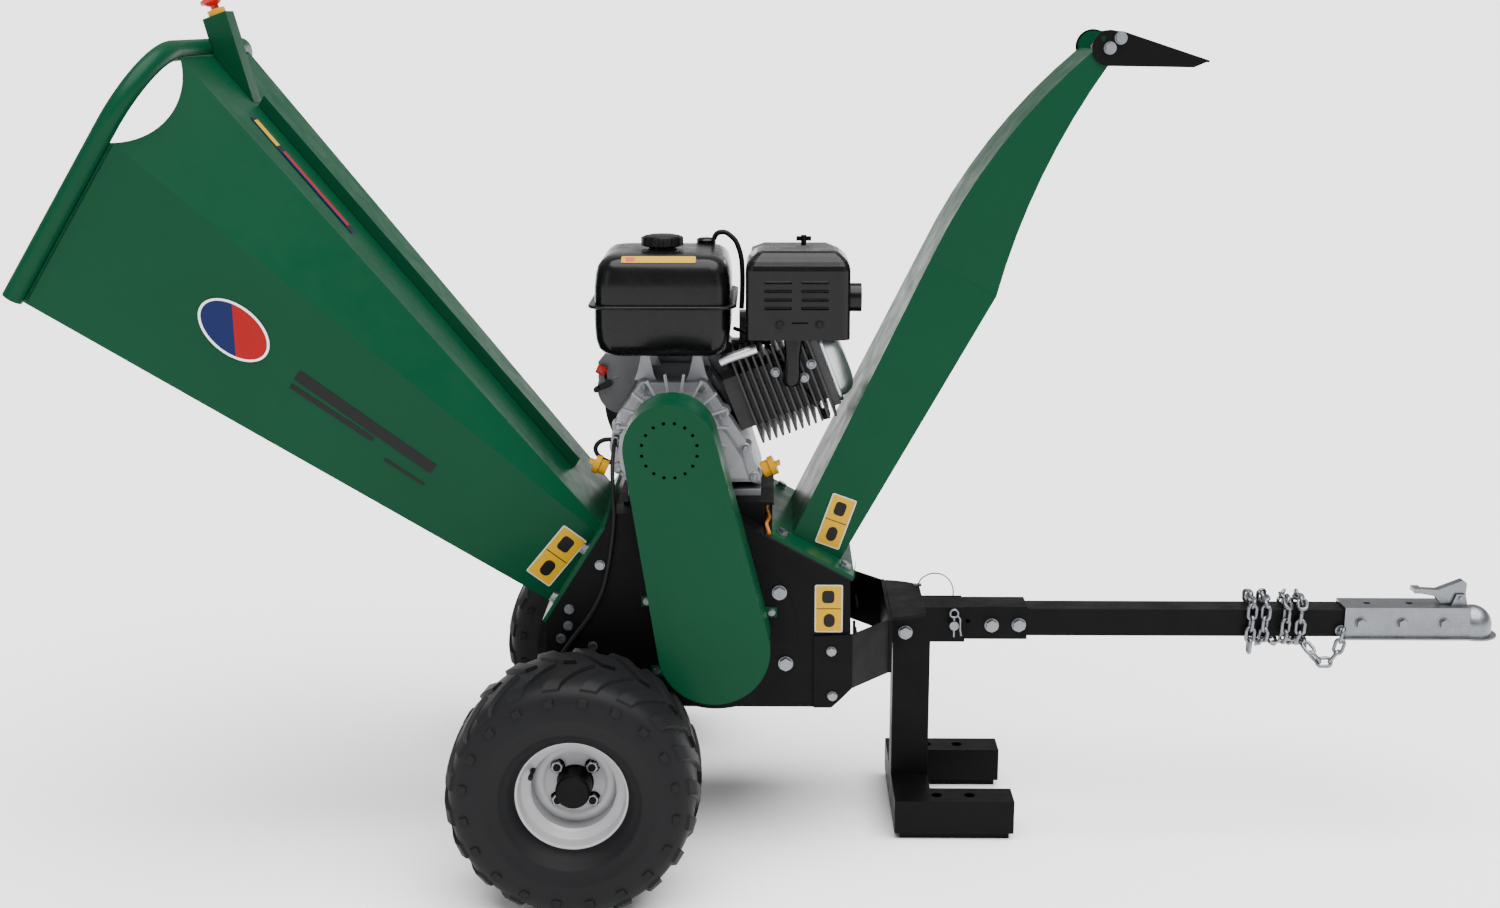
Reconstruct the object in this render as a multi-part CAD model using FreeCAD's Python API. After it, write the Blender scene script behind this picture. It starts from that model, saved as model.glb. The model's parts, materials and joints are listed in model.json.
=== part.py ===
import FreeCAD, Part
import math
import os

from FreeCAD import Vector as V

# Wood chipper on two wheels: feed hopper, knife rotor, engine with belt drive, discharge chute, tow bar.
# Millimetres, +Z up, +X toward the tow hitch, +Y away from the belt side.
# Every shape is drawn about the wheel axle's line (X = 0) and moved by ORIGIN_X when it is written,
# so that the origin lies at the middle of the machine's length, on the ground.

# ---- driving dimensions -------------------------------------------------------------------------
ORIGIN_X = 362.7

TYRE_R, TYRE_HALF, TYRE_WALL = 204.5, 100.0, 9.0        # 16 x 8 - 7 tyre
WHEEL_Y = 379.0                                         # wheel centre from the mid-plane
RIM_FLANGE_R, RIM_SEAT_R, RIM_WELL_R, RIM_HALF = 96.5, 88.9, 72.0, 64.0
SPINDLE_R, RUNNING = 12.5, 0.05
AXLE_Z = TYRE_R
BEAM, HANGER = 50.0, 6.0                                # axle beam section and hanger plates

SIDE_Y, PLATE = 197.0, 6.0                              # side plates' outer face and thickness
SHELL = 5.0
FLOOR_Z, DECK_Z = 264.5, 603.0
ROTOR_X, ROTOR_Z, ROTOR_R = 222.5, 399.0, 125.0
SHAFT_R = 20.0
CRANK_X, CRANK_Z = 152.7, 735.0

FEED_ANGLE = math.radians(57.8)                         # rise of the hopper's flange
FEED_X, FEED_Z, FEED_FLANGE = -65.0, 413.5, 223.9       # lower corner and length of that flange
HOPPER_LEN, SHEET = 966.0, 3.0
THROAT_LOW, THROAT_BEND, THROAT_TOP, THROAT_HALF, THROAT_TOP_HALF = 22.0, 168.0, 180.0, 150.0, 138.0
HOPPER_FLANGE = 192.0
MOUTH_LOW, MOUTH_BEND, MOUTH_TOP = 55.0, 347.0, 495.0   # heights along the mouth
MOUTH_HALF, MOUTH_TOP_HALF = 320.0, 204.0
HANDLE_R, HANDLE_BEND_R = 16.5, 130.0
GRIP_R, GRIP_DEPTH = 130.0, 42.0

CHUTE_ANGLE = math.atan2(603.0 - 488.6, 448.0 - 235.0)  # fall of the discharge flange
CHUTE_BASE = ((352.0, 549.0), (433.0, 505.5))           # rear and front wall at the flange
CHUTE_KINK = ((579.0, 1014.0), (691.0, 954.0))
CHUTE_TIP = ((841.0, 1357.0), (866.0, 1335.0))
CHUTE_HALF = (130.0, 96.0, 83.0)                       # half widths at base, kink and tip
HINGE = (864.0, 1359.0)

GUARD_Y, GUARD_TOP_R, GUARD_LOW_R, GUARD_WALL = 303.0, 75.0, 92.0, 2.5
PULLEY_Y0, PULLEY_Y1 = -286.0, -240.0
DRIVE_R, DRIVEN_R, GROOVE, BELT_PITCH = 55.0, 80.0, 10.0, 20.0

BAR_Z = 360.5                                           # height of the tow bar's centre line
SLEEVE, BAR = 60.0, 50.0
HEAD_X0, HEAD_X1, CHEEK_X1 = 519.0, 525.0, 659.0
SLEEVE_X1, BAR_X0, BAR_X1 = 770.0, 665.0, 1460.0
NOSE_X = 1609.0
BALL_R, BALL_X = 25.4, 1566.0                           # 2 inch ball
LEG_X0, LEG_X1 = 533.0, 599.0
FOOT_X1, FOOT_TOP, PAD_H, FOOT_HALF, FOOT_SECTION = 742.0, 72.0, 12.0, 150.0, 60.0


# ---- general shapes -----------------------------------------------------------------------------
def block(x0, x1, y0, y1, z0, z1):
    return Part.makeBox(x1 - x0, y1 - y0, z1 - z0, V(x0, y0, z0))


def rod(start, end, radius):
    start, end = V(*start), V(*end)
    return Part.makeCylinder(radius, (end - start).Length, start, end - start)


def pipe(start, end, radius, bore):
    return rod(start, end, radius).cut(rod(start, end, bore))


def cross_rod(x, z, y0, y1, radius):
    """A round bar that lies along Y."""
    return rod((x, y0, z), (x, y1, z), radius)


def slab(outline, y0, y1):
    """A plate that stands in the X-Z plane, from a closed list of corners."""
    corners = [V(x, y0, z) for x, z in outline]
    return Part.Face(Part.makePolygon(corners + corners[:1])).extrude(V(0, y1 - y0, 0))


def plan(outline, z0, z1):
    """A plate that lies flat, from its corners in X and Y."""
    corners = [V(x, y, z0) for x, y in outline]
    return Part.Face(Part.makePolygon(corners + corners[:1])).extrude(V(0, 0, z1 - z0))


def turned(profile, x, z):
    """A solid turned about a line along Y, from (radius, y) corners."""
    corners = [V(x + radius, y, z) for radius, y in profile]
    face = Part.Face(Part.makePolygon(corners + corners[:1]))
    return face.revolve(V(x, 0, z), V(0, 1, 0), 360)


def fuse(shapes):
    shapes = list(shapes)
    return shapes[0].multiFuse(shapes[1:]).removeSplitter() if len(shapes) > 1 else shapes[0]


def hexagon(at, axis, across, height):
    """A hexagonal prism that rises along axis from its centre point."""
    axis = V(*axis)
    axis.normalize()
    side = axis.cross(V(1, 0, 0)) if abs(axis.x) < 0.9 else axis.cross(V(0, 1, 0))
    side.normalize()
    other = axis.cross(side)
    radius = across / math.sqrt(3)
    ring = [V(*at) + side * (radius * math.cos(math.radians(60 * i)))
            + other * (radius * math.sin(math.radians(60 * i))) for i in range(6)]
    return Part.Face(Part.makePolygon(ring + ring[:1])).extrude(axis * height)


def bolt(at, axis, size, grip=0.0):
    """A washer and hexagon head on a face, with a shank that runs back through it by grip."""
    direction = V(*axis)
    direction.normalize()
    washer = Part.makeCylinder(size * 1.05, size * 0.2, V(*at), direction)
    top = V(*at) + direction * (size * 0.2)
    pieces = [washer, hexagon(tuple(top), axis, size * 1.6, size * 0.62)]
    if grip:
        pieces.append(Part.makeCylinder(size / 2, grip, V(*at), -direction))
    return fuse(pieces)


def drill(shape, places, y0, y1, radius):
    """Holes along Y at each (x, z)."""
    return shape.cut(Part.makeCompound([cross_rod(x, z, y0, y1, radius) for x, z in places]))


def route_tube(points, radius, share=0.45):
    """A round tube along straight runs that are joined by tangent arcs as large as the runs allow."""
    points = [V(*p) for p in points]
    edges, here = [], points[0]
    for before, corner, after in zip(points, points[1:], points[2:]):
        back, ahead = before - corner, after - corner
        reach = share * min(back.Length, ahead.Length)
        back.normalize()
        ahead.normalize()
        half = (math.pi - back.getAngle(ahead)) / 2
        bend = reach / math.tan(half)
        start, end = corner + back * reach, corner + ahead * reach
        middle = back + ahead
        middle.normalize()
        top = corner + middle * (bend / math.cos(half) - bend)
        edges.append(Part.LineSegment(here, start).toShape())
        edges.append(Part.Arc(start, top, end).toShape())
        print("  bend radius %.1f" % bend)
        here = end
    edges.append(Part.LineSegment(here, points[-1]).toShape())
    first = points[1] - points[0]
    section = Part.Wire([Part.makeCircle(radius, points[0], first)])
    path = Part.Wire(edges)
    tube = path.makePipeShell([section], True, False)
    print("  length %.0f, volume ratio %.4f" % (path.Length,
                                                tube.Volume / (math.pi * radius**2 * path.Length)))
    return tube


def loop_outline(top, top_r, low, low_r):
    """The closed wire round two circles and their outer tangents, in the X-Z plane at y = 0."""
    a, b = V(top[0], 0, top[1]), V(low[0], 0, low[1])
    along = b - a
    gap = along.Length
    along.normalize()
    across = V(-along.z, 0, along.x)
    lean = math.asin((top_r - low_r) / gap)
    points = []
    for sign in (1, -1):
        out = along * math.sin(lean) + across * (sign * math.cos(lean))
        points.append((a + out * top_r, b + out * low_r))
    (a1, b1), (a2, b2) = points
    return Part.Wire([Part.Arc(a2, a - along * top_r, a1).toShape(), Part.LineSegment(a1, b1).toShape(),
                      Part.Arc(b1, b + along * low_r, b2).toShape(), Part.LineSegment(b2, a2).toShape()])


def loop_slab(top_r, low_r, y0, y1):
    """A flat body round the crankshaft's and the rotor's centres."""
    wire = loop_outline((CRANK_X, CRANK_Z), top_r, (ROTOR_X, ROTOR_Z), low_r)
    face = Part.Face(wire)
    face.translate(V(0, y0, 0))
    return face.extrude(V(0, y1 - y0, 0))


def feed(a, t, y=0.0):
    """A point given along the hopper's axis, up its flange and across."""
    x = FEED_X + t * math.cos(FEED_ANGLE) - a * math.sin(FEED_ANGLE)
    return V(x, y, FEED_Z + t * math.sin(FEED_ANGLE) + a * math.cos(FEED_ANGLE))


def feed_xz(a, t):
    point = feed(a, t)
    return point.x, point.z


# ---- wheels and axle ----------------------------------------------------------------------------
def tyre(side):
    outer = [(91.0, 58.9), (96.7, 60.8), (97.0, 66.0), (104.0, 82.0), (124.0, 94.0), (150.0, TYRE_HALF),
             (174.0, 97.0),
             (190.0, 86.0), (200.0, 66.0), (204.0, 36.0), (TYRE_R, 12.0)]
    inner = [(204.0 - TYRE_WALL, 34.0), (190.0, 62.0), (181.0, 79.0), (170.0, 87.0), (150.0, 90.0),
             (128.0, 85.0), (110.0, 73.0), (100.0, 58.0), (91.0, 50.0)]
    profile = outer + [(r, -y) for r, y in reversed(outer)]
    profile += [(r, -y) for r, y in reversed(inner)] + inner
    return turned([(r, y + side * WHEEL_Y) for r, y in profile], 0, AXLE_Z)


def rim(side):
    """Pressed steel wheel: a flanged barrel and the centre disc that is welded in it."""
    seat, well, flange = RIM_SEAT_R, RIM_WELL_R, RIM_FLANGE_R
    barrel = [(flange, RIM_HALF), (flange, RIM_HALF - 3), (seat + 1.5, RIM_HALF - 5), (seat, RIM_HALF - 9),
              (seat - 2, RIM_HALF - 26), (well, RIM_HALF - 34), (well, -RIM_HALF + 34),
              (seat - 2, -RIM_HALF + 26), (seat, -RIM_HALF + 9), (seat + 1.5, -RIM_HALF + 5),
              (flange, -RIM_HALF + 3), (flange, -RIM_HALF),
              (seat - 3, -RIM_HALF + 2), (seat - 6, -RIM_HALF + 26), (well - 3.5, -RIM_HALF + 36),
              (well - 3.5, RIM_HALF - 36), (seat - 6, RIM_HALF - 26), (seat - 3, RIM_HALF - 2)]
    disc = [(30.0, 0.0), (30.0, 4.0), (50.0, 4.0), (54.0, 8.0), (62.0, 8.0), (well - 2, 4.0),
            (well - 2, 0.0),
            (61.0, 4.0), (55.0, 4.0), (51.0, 0.0)]
    shape = fuse([turned([(r, side * (WHEEL_Y + y)) for r, y in part], 0, AXLE_Z)
                  for part in (barrel, disc)])
    holes = [rod((40 * math.cos(a), side * WHEEL_Y - 20, AXLE_Z + 40 * math.sin(a)),
                 (40 * math.cos(a), side * WHEEL_Y + 20, AXLE_Z + 40 * math.sin(a)), 6.3)
             for a in [math.radians(45 + 90 * i) for i in range(4)]]
    return shape.cut(Part.makeCompound(holes))


def hub(side):
    """Hub barrel that turns on the spindle, its flange, dust cap and the four studs with their nuts."""
    y = side * WHEEL_Y
    bore = SPINDLE_R + RUNNING
    profile = [(bore, -58.0), (27.0, -58.0), (27.0, -12.0), (54.0, -12.0), (54.0, -0.2), (29.4, -0.2),
               (29.4, 6.0), (28.0, 6.0), (28.0, 46.0), (25.0, 49.0), (0.01, 49.0), (0.01, 44.0), (22.0, 44.0),
               (22.0, 30.0),
               (bore, 30.0)]
    pieces = [turned([(r, y + side * step) for r, step in profile], 0, AXLE_Z)]
    for i in range(4):
        angle = math.radians(45 + 90 * i)
        x, z = 40 * math.cos(angle), AXLE_Z + 40 * math.sin(angle)
        pieces.append(rod((x, y - side * 10, z), (x, y + side * 16, z), 6.0))
        pieces.append(hexagon((x, y + side * 4.1, z), (0, side, 0), 18.0, 9.0))
    return fuse(pieces)


def axle_beam():
    """Square beam under the rotor housing, two hanger plates and the two wheel spindles."""
    end, half = 262.0, BEAM / 2
    beam = block(-half, half, -end, end, AXLE_Z - half, AXLE_Z + half)
    bore = block(-half + 4, half - 4, -end + 4, end - 4, AXLE_Z - half + 4, AXLE_Z + half - 4)
    pieces = [beam.cut(bore)]
    for side in (-1, 1):
        tip = side * (WHEEL_Y + 36.5)
        pieces.append(cross_rod(0, AXLE_Z, side * (end - 4), side * (end + 40), 17.0))
        pieces.append(cross_rod(0, AXLE_Z, side * end, tip, SPINDLE_R))
        pieces.append(cross_rod(0, AXLE_Z, tip - side * 6, tip, 18.0))
        inner = side * (SIDE_Y - PLATE)
        hanger = [(-52, AXLE_Z + half), (62, AXLE_Z + half), (62, 400), (20, 400), (-46, 396), (-52, 340)]
        plate = slab(hanger, inner - side * HANGER, inner)
        pieces.append(drill(plate, SMALL_BOLTS[3:], inner - side * 10, inner + side * 10, 4.2))
    return fuse(pieces)


# ---- rotor housing ------------------------------------------------------------------------------
SLOPE_END = (448.0, 488.6)
SIDE_OUTLINE = [feed_xz(0, 0), feed_xz(0, FEED_FLANGE), (235.0, DECK_Z), SLOPE_END, (452.0, 300.0),
                (431.0, 277.0), (418.0, FLOOR_Z), (60.0, FLOOR_Z), (-30.0, 300.0), (-65.0, 335.0)]
ANVIL_BOLTS = [(329.5, 468.0), (340.6, 343.0)]
GUARD_EARS = [(106.8, 452.4), (122.0, 329.8), (316.5, 434.0)]
HOPPER_BOLTS = [40.0, 140.0]
SMALL_BOLTS = [(29.0, 514.4), (-24.1, 437.0), (-26.3, 408.0), (-39.0, 385.0), (14.4, 371.8), (0.8, 355.0)]
ARM_BOLTS = [(417.6, 366.0), (420.0, 286.4)]


def side_plate(side):
    """Side plate with the round doubler that carries the rotor bearing."""
    outer, inner = side * SIDE_Y, side * (SIDE_Y - PLATE)
    plate = slab(SIDE_OUTLINE, min(outer, inner), max(outer, inner))
    doubler = cross_rod(ROTOR_X, ROTOR_Z, outer - side * 1.0, outer + side * 2.0, 138.0)
    plate = fuse([plate, doubler])
    reach = sorted((outer + side * 10, inner - side * 10))
    plate = drill(plate, [(ROTOR_X, ROTOR_Z)], *reach, SHAFT_R + 12)
    plate = drill(plate, ANVIL_BOLTS, *reach, 6.2)
    return drill(plate, SMALL_BOLTS + ARM_BOLTS + (GUARD_EARS if side < 0 else []), *reach, 4.2)


def rotor_shell():
    """The bent wrapper between the side plates, with the feed floor and the curved liner in it."""
    width = SIDE_Y - PLATE
    centre = V(190, 0, 430)
    outer = slab(SIDE_OUTLINE, -width, width)
    inner_outline = []
    corners = SIDE_OUTLINE
    for i, corner in enumerate(corners):
        before, after = corners[i - 1], corners[(i + 1) % len(corners)]
        inner_outline.append(inset_corner(before, corner, after, SHELL, (centre.x, centre.z)))
    shell = outer.cut(slab(inner_outline, -width - 1, width + 1))
    floor = slab([feed_xz(-4.5, 16), feed_xz(-4.5, 22), (68.0, 394.0), (68.0, 388.0)], -width, width)
    liner = pipe((ROTOR_X, -width, ROTOR_Z), (ROTOR_X, width, ROTOR_Z), ROTOR_R + 9.5, ROTOR_R + 6.5)
    window = slab([(60, 371.6), (100, 371.6), (ROTOR_X, 405), (480, 330), (480, 640), (-60, 640)],
                  -width - 1, width + 1)
    liner = liner.cut(window)
    shell = fuse([shell, floor, liner])
    hanger_room = [block(-52.3, 62.3, min(y, y + side * 7), max(y, y + side * 7), AXLE_Z, 400.3)
                   for side, y in ((-1, -width + HANGER + 0.3), (1, width - HANGER - 0.3))]
    shell = shell.cut(Part.makeCompound(hanger_room))
    throat = slab([feed_xz(-20, THROAT_LOW), feed_xz(-20, THROAT_BEND), feed_xz(20, THROAT_BEND),
                   feed_xz(20, THROAT_LOW)], -THROAT_HALF + SHEET, THROAT_HALF - SHEET)
    (x0, z0), (x1, z1) = CHUTE_BASE
    exit_way = slab([(x0 + 4, z0 + 20), (x0 + 4, z0 - 40), (x1 - 4, z1 - 40), (x1 - 4, z1 + 20)], -126, 126)
    return shell.cut(fuse([throat, exit_way]))


def inset_corner(before, corner, after, depth, inside):
    """The corner of a polygon moved inward by depth from both of its edges."""
    lines = []
    for start, end in ((before, corner), (corner, after)):
        dx, dz = end[0] - start[0], end[1] - start[1]
        length = math.hypot(dx, dz)
        nx, nz = -dz / length, dx / length
        if (inside[0] - corner[0]) * nx + (inside[1] - corner[1]) * nz < 0:
            nx, nz = -nx, -nz
        lines.append((nx, nz, nx * corner[0] + nz * corner[1] + depth))
    (a, b, c), (d, e, f) = lines
    det = a * e - b * d
    return (c * e - b * f) / det, (a * f - c * d) / det


def anvil():
    """Fixed counter knife below the feed opening and its clamp bar."""
    width = SIDE_Y - PLATE
    knife = block(72, 94, -width, width, 372, 384)
    bar = block(72, 90, -width, width, 350, 371.9)
    return Part.makeCompound([knife, bar])


def rotor_bearings():
    """Flanged bearing units on the outer faces of the side plates."""
    units = []
    for side in (-1, 1):
        y = side * (SIDE_Y + 2)
        bore = SHAFT_R + RUNNING
        profile = [(bore, 0.0), (58.0, 0.0), (58.0, 10.0), (44.0, 14.0), (40.0, 30.0), (bore, 30.0)]
        unit = turned([(r, y + side * step) for r, step in profile], ROTOR_X, ROTOR_Z)
        for i in range(4):
            angle = math.radians(45 + 90 * i)
            place = (ROTOR_X + 50 * math.cos(angle), y + side * 10.0, ROTOR_Z + 50 * math.sin(angle))
            unit = unit.fuse(bolt(place, (0, side, 0), 8))
        units.append(unit)
    return Part.makeCompound(units)


def engine_deck():
    """Plate that the engine stands on, with skirts over the sloping top of the housing."""
    top = block(66, 320, -135, 160, DECK_Z, DECK_Z + 5)
    slope = (DECK_Z - SLOPE_END[1]) / (SLOPE_END[0] - 235.0)

    def slope_z(x):
        return DECK_Z - (x - 235.0) * slope + 0.3
    end = 304.8
    skirt = [(236, DECK_Z), (236, slope_z(236)), (end, slope_z(end)), (end, DECK_Z)]
    pieces = [top, slab(skirt, -135, -130), slab(skirt, 155, 160)]
    rear = end - 5
    lip = [(rear, DECK_Z), (rear, slope_z(rear)), (end, slope_z(end)), (end, DECK_Z)]
    pieces.append(slab(lip, -130, 155))
    return fuse(pieces)


def housing_bolts():
    """Every fixed bolt of the housing, hopper, chute, tow bar and guard."""
    face = -SIDE_Y
    places = []
    for side in (-1, 1):
        places += [bolt((x, side * SIDE_Y, z), (0, side, 0), 8, PLATE + 4) for x, z in SMALL_BOLTS]
        places += [bolt((x, side * (SIDE_Y + 2), z), (0, side, 0), 12, PLATE + 2) for x, z in ANVIL_BOLTS]
        places += [bolt((x, side * (SIDE_Y + 6), z), (0, side, 0), 8, PLATE + 10) for x, z in ARM_BOLTS]
    places += [bolt((x, face - 4.5, z), (0, -1, 0), 6, 4) for x, z in GUARD_EARS]
    front = (-math.sin(FEED_ANGLE), 0, math.cos(FEED_ANGLE))
    for side in (-1, 1):
        for t in HOPPER_BOLTS:
            places.append(bolt(tuple(feed(6.0, t, side * 178)), front, 10))
    for side in (-1, 1):
        for s in CHUTE_BOLTS:
            x, z = chute_face(s, FLANGE_TOP)
            places.append(bolt((x, side * 164, z), (math.sin(CHUTE_ANGLE), 0, math.cos(CHUTE_ANGLE)), 10))
    for x, z, depth in HITCH_BOLTS:
        for side in (-1, 1):
            places.append(bolt((x, side * depth, z), (0, side, 0), 12))
    return Part.makeCompound(places + deflector_bolts() + cable_clips())


# ---- feed hopper --------------------------------------------------------------------------------
def section(a, low, bend, top, half, top_half, wall=0.0):
    """Closed six-sided wire across the hopper, moved inward by the sheet's thickness."""
    slope = math.hypot(top - bend, half - top_half)
    step_t = wall * (half - top_half) / slope
    step_y = wall * (top - bend) / slope
    corners = [(low + wall, half - wall), (bend - step_t * 0.6, half - wall),
               (top - wall, top_half - step_y * 0.6)]
    points = [feed(a, t, -y) for t, y in corners] + [feed(a, t, y) for t, y in reversed(corners)]
    return Part.makePolygon(points + points[:1])


def hopper_shell():
    """Folded sheet funnel: floor, two sides, two slanted panels and a narrow top panel."""
    def funnel(wall, start, end):
        throat = section(start, THROAT_LOW, THROAT_BEND, THROAT_TOP, THROAT_HALF, THROAT_TOP_HALF, wall)
        mouth = section(end, MOUTH_LOW, MOUTH_BEND, MOUTH_TOP, MOUTH_HALF, MOUTH_TOP_HALF, wall)
        return Part.makeLoft([throat, mouth], True, True)
    shell = funnel(0.0, 6.0, HOPPER_LEN).cut(funnel(SHEET, 5.9, HOPPER_LEN + 0.1))
    for side in (-1, 1):
        rise, inward = MOUTH_TOP - MOUTH_BEND, MOUTH_HALF - MOUTH_TOP_HALF
        length = math.hypot(rise, inward)
        middle = feed(HOPPER_LEN + GRIP_R - GRIP_DEPTH, (MOUTH_TOP + MOUTH_BEND) / 2,
                      side * (MOUTH_HALF + MOUTH_TOP_HALF) / 2)
        up = V(math.cos(FEED_ANGLE), 0, math.sin(FEED_ANGLE))
        outward = up * (inward / length) + V(0, side * rise / length, 0)
        cutter = Part.makeCylinder(GRIP_R, 160, middle - outward * 80, outward)
        shell = shell.cut(cutter)
    return shell


def hopper_flange():
    """Flat frame that bolts the funnel to the housing."""
    end = HOPPER_FLANGE
    corners = [feed(0, 0, -SIDE_Y), feed(0, end, -SIDE_Y), feed(0, end, SIDE_Y), feed(0, 0, SIDE_Y)]
    out = V(-math.sin(FEED_ANGLE), 0, math.cos(FEED_ANGLE))
    plate = Part.Face(Part.makePolygon(corners + corners[:1])).extrude(out * 6.0)
    low, high, half = THROAT_LOW + SHEET, THROAT_BEND, THROAT_HALF - SHEET
    hole = [feed(-5, low, -half), feed(-5, high, -half), feed(-5, high, half), feed(-5, low, half)]
    return plate.cut(Part.Face(Part.makePolygon(hole + hole[:1])).extrude(out * 20.0))


def hopper_handle():
    """Round tube along both sides and across the top of the mouth, which is also the push handle."""
    a, y = HOPPER_LEN + HANDLE_R + 0.5, MOUTH_HALF
    top = MOUTH_TOP
    bend = HANDLE_BEND_R
    cut = bend * (1 - math.cos(math.pi / 4))
    edges = []
    low_near, turn_near = feed(a, MOUTH_LOW - 4, -y), feed(a, top - bend, -y)
    near_mid, near_end = feed(a, top - cut, -y + cut), feed(a, top, -y + bend)
    far_start, far_mid = feed(a, top, y - bend), feed(a, top - cut, y - cut)
    turn_far, low_far = feed(a, top - bend, y), feed(a, MOUTH_LOW - 4, y)
    edges.append(Part.LineSegment(low_near, turn_near).toShape())
    edges.append(Part.Arc(turn_near, near_mid, near_end).toShape())
    edges.append(Part.LineSegment(near_end, far_start).toShape())
    edges.append(Part.Arc(far_start, far_mid, turn_far).toShape())
    edges.append(Part.LineSegment(turn_far, low_far).toShape())
    path = Part.Wire(edges)
    along = turn_near - low_near
    outer = path.makePipeShell([Part.Wire([Part.makeCircle(HANDLE_R, low_near, along)])], True, False)
    inner = path.makePipeShell([Part.Wire([Part.makeCircle(HANDLE_R - 2.5, low_near, along)])], True, False)
    return outer.cut(inner)


def top_line(a):
    """Height up the flange of the hopper's top panel at distance a along the axis."""
    return THROAT_TOP + (MOUTH_TOP - THROAT_TOP) * (a - 6.0) / (HOPPER_LEN - 6.0)


def cable_duct():
    """Shallow folded channel on the top panel that hides the stop switch's cable."""
    half, height, wall = 15.0, 20.0, 2.0
    a0, a1 = 90.0, 862.0

    def bar(width, low, high, start, end):
        corners = [feed_xz(start, top_line(start) + low), feed_xz(end, top_line(end) + low),
                   feed_xz(end, top_line(end) + high), feed_xz(start, top_line(start) + high)]
        return slab(corners, -width, width)
    return bar(half, 0.3, height, a0, a1).cut(bar(half - wall, -1.0, height - wall, a0 - 1, a1 + 1))


POST_TOP = [(-631.0, 1404.0), (-592.0, 1418.0)]


def stop_post():
    """Folded post on the hopper's top edge that carries the emergency stop switch."""
    half, wall = 25.0, 3.0
    foot_a = (868.0, HOPPER_LEN - 4.0)
    low = [feed_xz(a, top_line(a) + 0.3) for a in foot_a]
    outline = [POST_TOP[0], POST_TOP[1], low[0], low[1]]
    hollow = [inset_corner(outline[i - 1], outline[i], outline[(i + 1) % 4], wall, (-600.0, 1372.0))
              for i in range(4)]
    hollow[2] = (outline[2][0] - 4.5, outline[2][1] - 3.0)
    hollow[3] = (outline[3][0] + 4.0, outline[3][1] - 3.0)
    post = slab(outline, -half, half).cut(slab(hollow, -half + wall, half - wall))
    tube = feed(HOPPER_LEN + HANDLE_R + 0.5, MOUTH_TOP)
    post = post.cut(cross_rod(tube.x, tube.z, -half - 1, half + 1, HANDLE_R + 0.2))
    centre, tilt = post_top_centre(), post_axis()
    return post.cut(Part.makeCylinder(11.0, 20, centre - tilt * 12, tilt))


def post_top_centre():
    (x0, z0), (x1, z1) = POST_TOP
    return V((x0 + x1) / 2, 0, (z0 + z1) / 2)


def post_axis():
    (x0, z0), (x1, z1) = POST_TOP
    axis = V(-(z1 - z0), 0, x1 - x0)
    axis.normalize()
    return axis


def stop_collar():
    """Threaded collar of the stop switch, with its nut under the post's top."""
    base, axis = post_top_centre(), post_axis()
    ring = Part.makeCylinder(15.0, 10.0, base + axis * 0.1, axis)
    neck = Part.makeCylinder(11.0, 20.0, base - axis * 16.0, axis)
    nut = Part.makeCylinder(15.0, 4.0, base - axis * 8.0, axis)
    bore = Part.makeCylinder(7.05, 40.0, base - axis * 20.0, axis)
    return fuse([ring, neck, nut]).cut(bore)


def stop_button():
    """Mushroom head and stem."""
    base, axis = post_top_centre(), post_axis()
    stem = Part.makeCylinder(7.0, 32.0, base - axis * 14.0, axis)
    cone = Part.makeCone(10.0, 18.0, 6.0, base + axis * 17.2, axis)
    head = Part.makeCylinder(20.0, 6.0, base + axis * 22.5, axis)
    dome = Part.makeCone(20.0, 12.0, 3.0, base + axis * 28.5, axis)
    return fuse([stem, cone, head, dome])


# ---- discharge chute ----------------------------------------------------------------------------
FLANGE_X0, FLANGE_LEN, FLANGE_TOP = 313.0, 157.0, 9.0
CHUTE_BOLTS = [18.0, 139.0]


def chute_face(s, up):
    """A point given down the discharge slope from the flange's upper edge, and up from the slope."""
    z_edge = DECK_Z - (FLANGE_X0 - 235.0) * math.tan(CHUTE_ANGLE)
    x = FLANGE_X0 + s * math.cos(CHUTE_ANGLE) + up * math.sin(CHUTE_ANGLE)
    return x, z_edge - s * math.sin(CHUTE_ANGLE) + up * math.cos(CHUTE_ANGLE)


def chute_window(low, high):
    """The passage through the flange and gasket."""
    start, end = 44.5, 127.0
    return slab([chute_face(start, low), chute_face(end, low), chute_face(end, high),
                 chute_face(start, high)],
                -126.0, 126.0)


def chute_gasket():
    plate = slab([chute_face(-9, 0), chute_face(FLANGE_LEN, 0), chute_face(FLANGE_LEN, 2.9),
                  chute_face(-9, 2.9)],
                 -SIDE_Y, SIDE_Y)
    return plate.cut(chute_window(-5, 8))


def chute_flange():
    """Bottom frame of the chute with a small web at each front corner."""
    plate = slab([chute_face(0, 3), chute_face(FLANGE_LEN, 3), chute_face(FLANGE_LEN, FLANGE_TOP),
                  chute_face(0, FLANGE_TOP)], -SIDE_Y, SIDE_Y)
    plate = plate.cut(chute_window(-5, 20))
    webs = [slab([chute_face(FLANGE_LEN - 3, FLANGE_TOP), chute_face(FLANGE_LEN, FLANGE_TOP),
                  chute_face(FLANGE_LEN - 13, FLANGE_TOP + 28)], y, y + 3) for y in (-SIDE_Y, SIDE_Y - 3)]
    return fuse([plate] + webs)


def arc_points(start, end, lean, count):
    """Points on a circular arc from start to end that turns by lean radians to the right."""
    chord = math.hypot(end[0] - start[0], end[1] - start[1])
    heading = math.atan2(end[1] - start[1], end[0] - start[0]) + lean / 2
    points = []
    for i in range(count + 1):
        turn = lean * i / count
        length = chord * math.sin(turn / 2) / math.sin(lean / 2)
        angle = heading - turn / 2
        points.append((start[0] + length * math.cos(angle), start[1] + length * math.sin(angle)))
    return points


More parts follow.
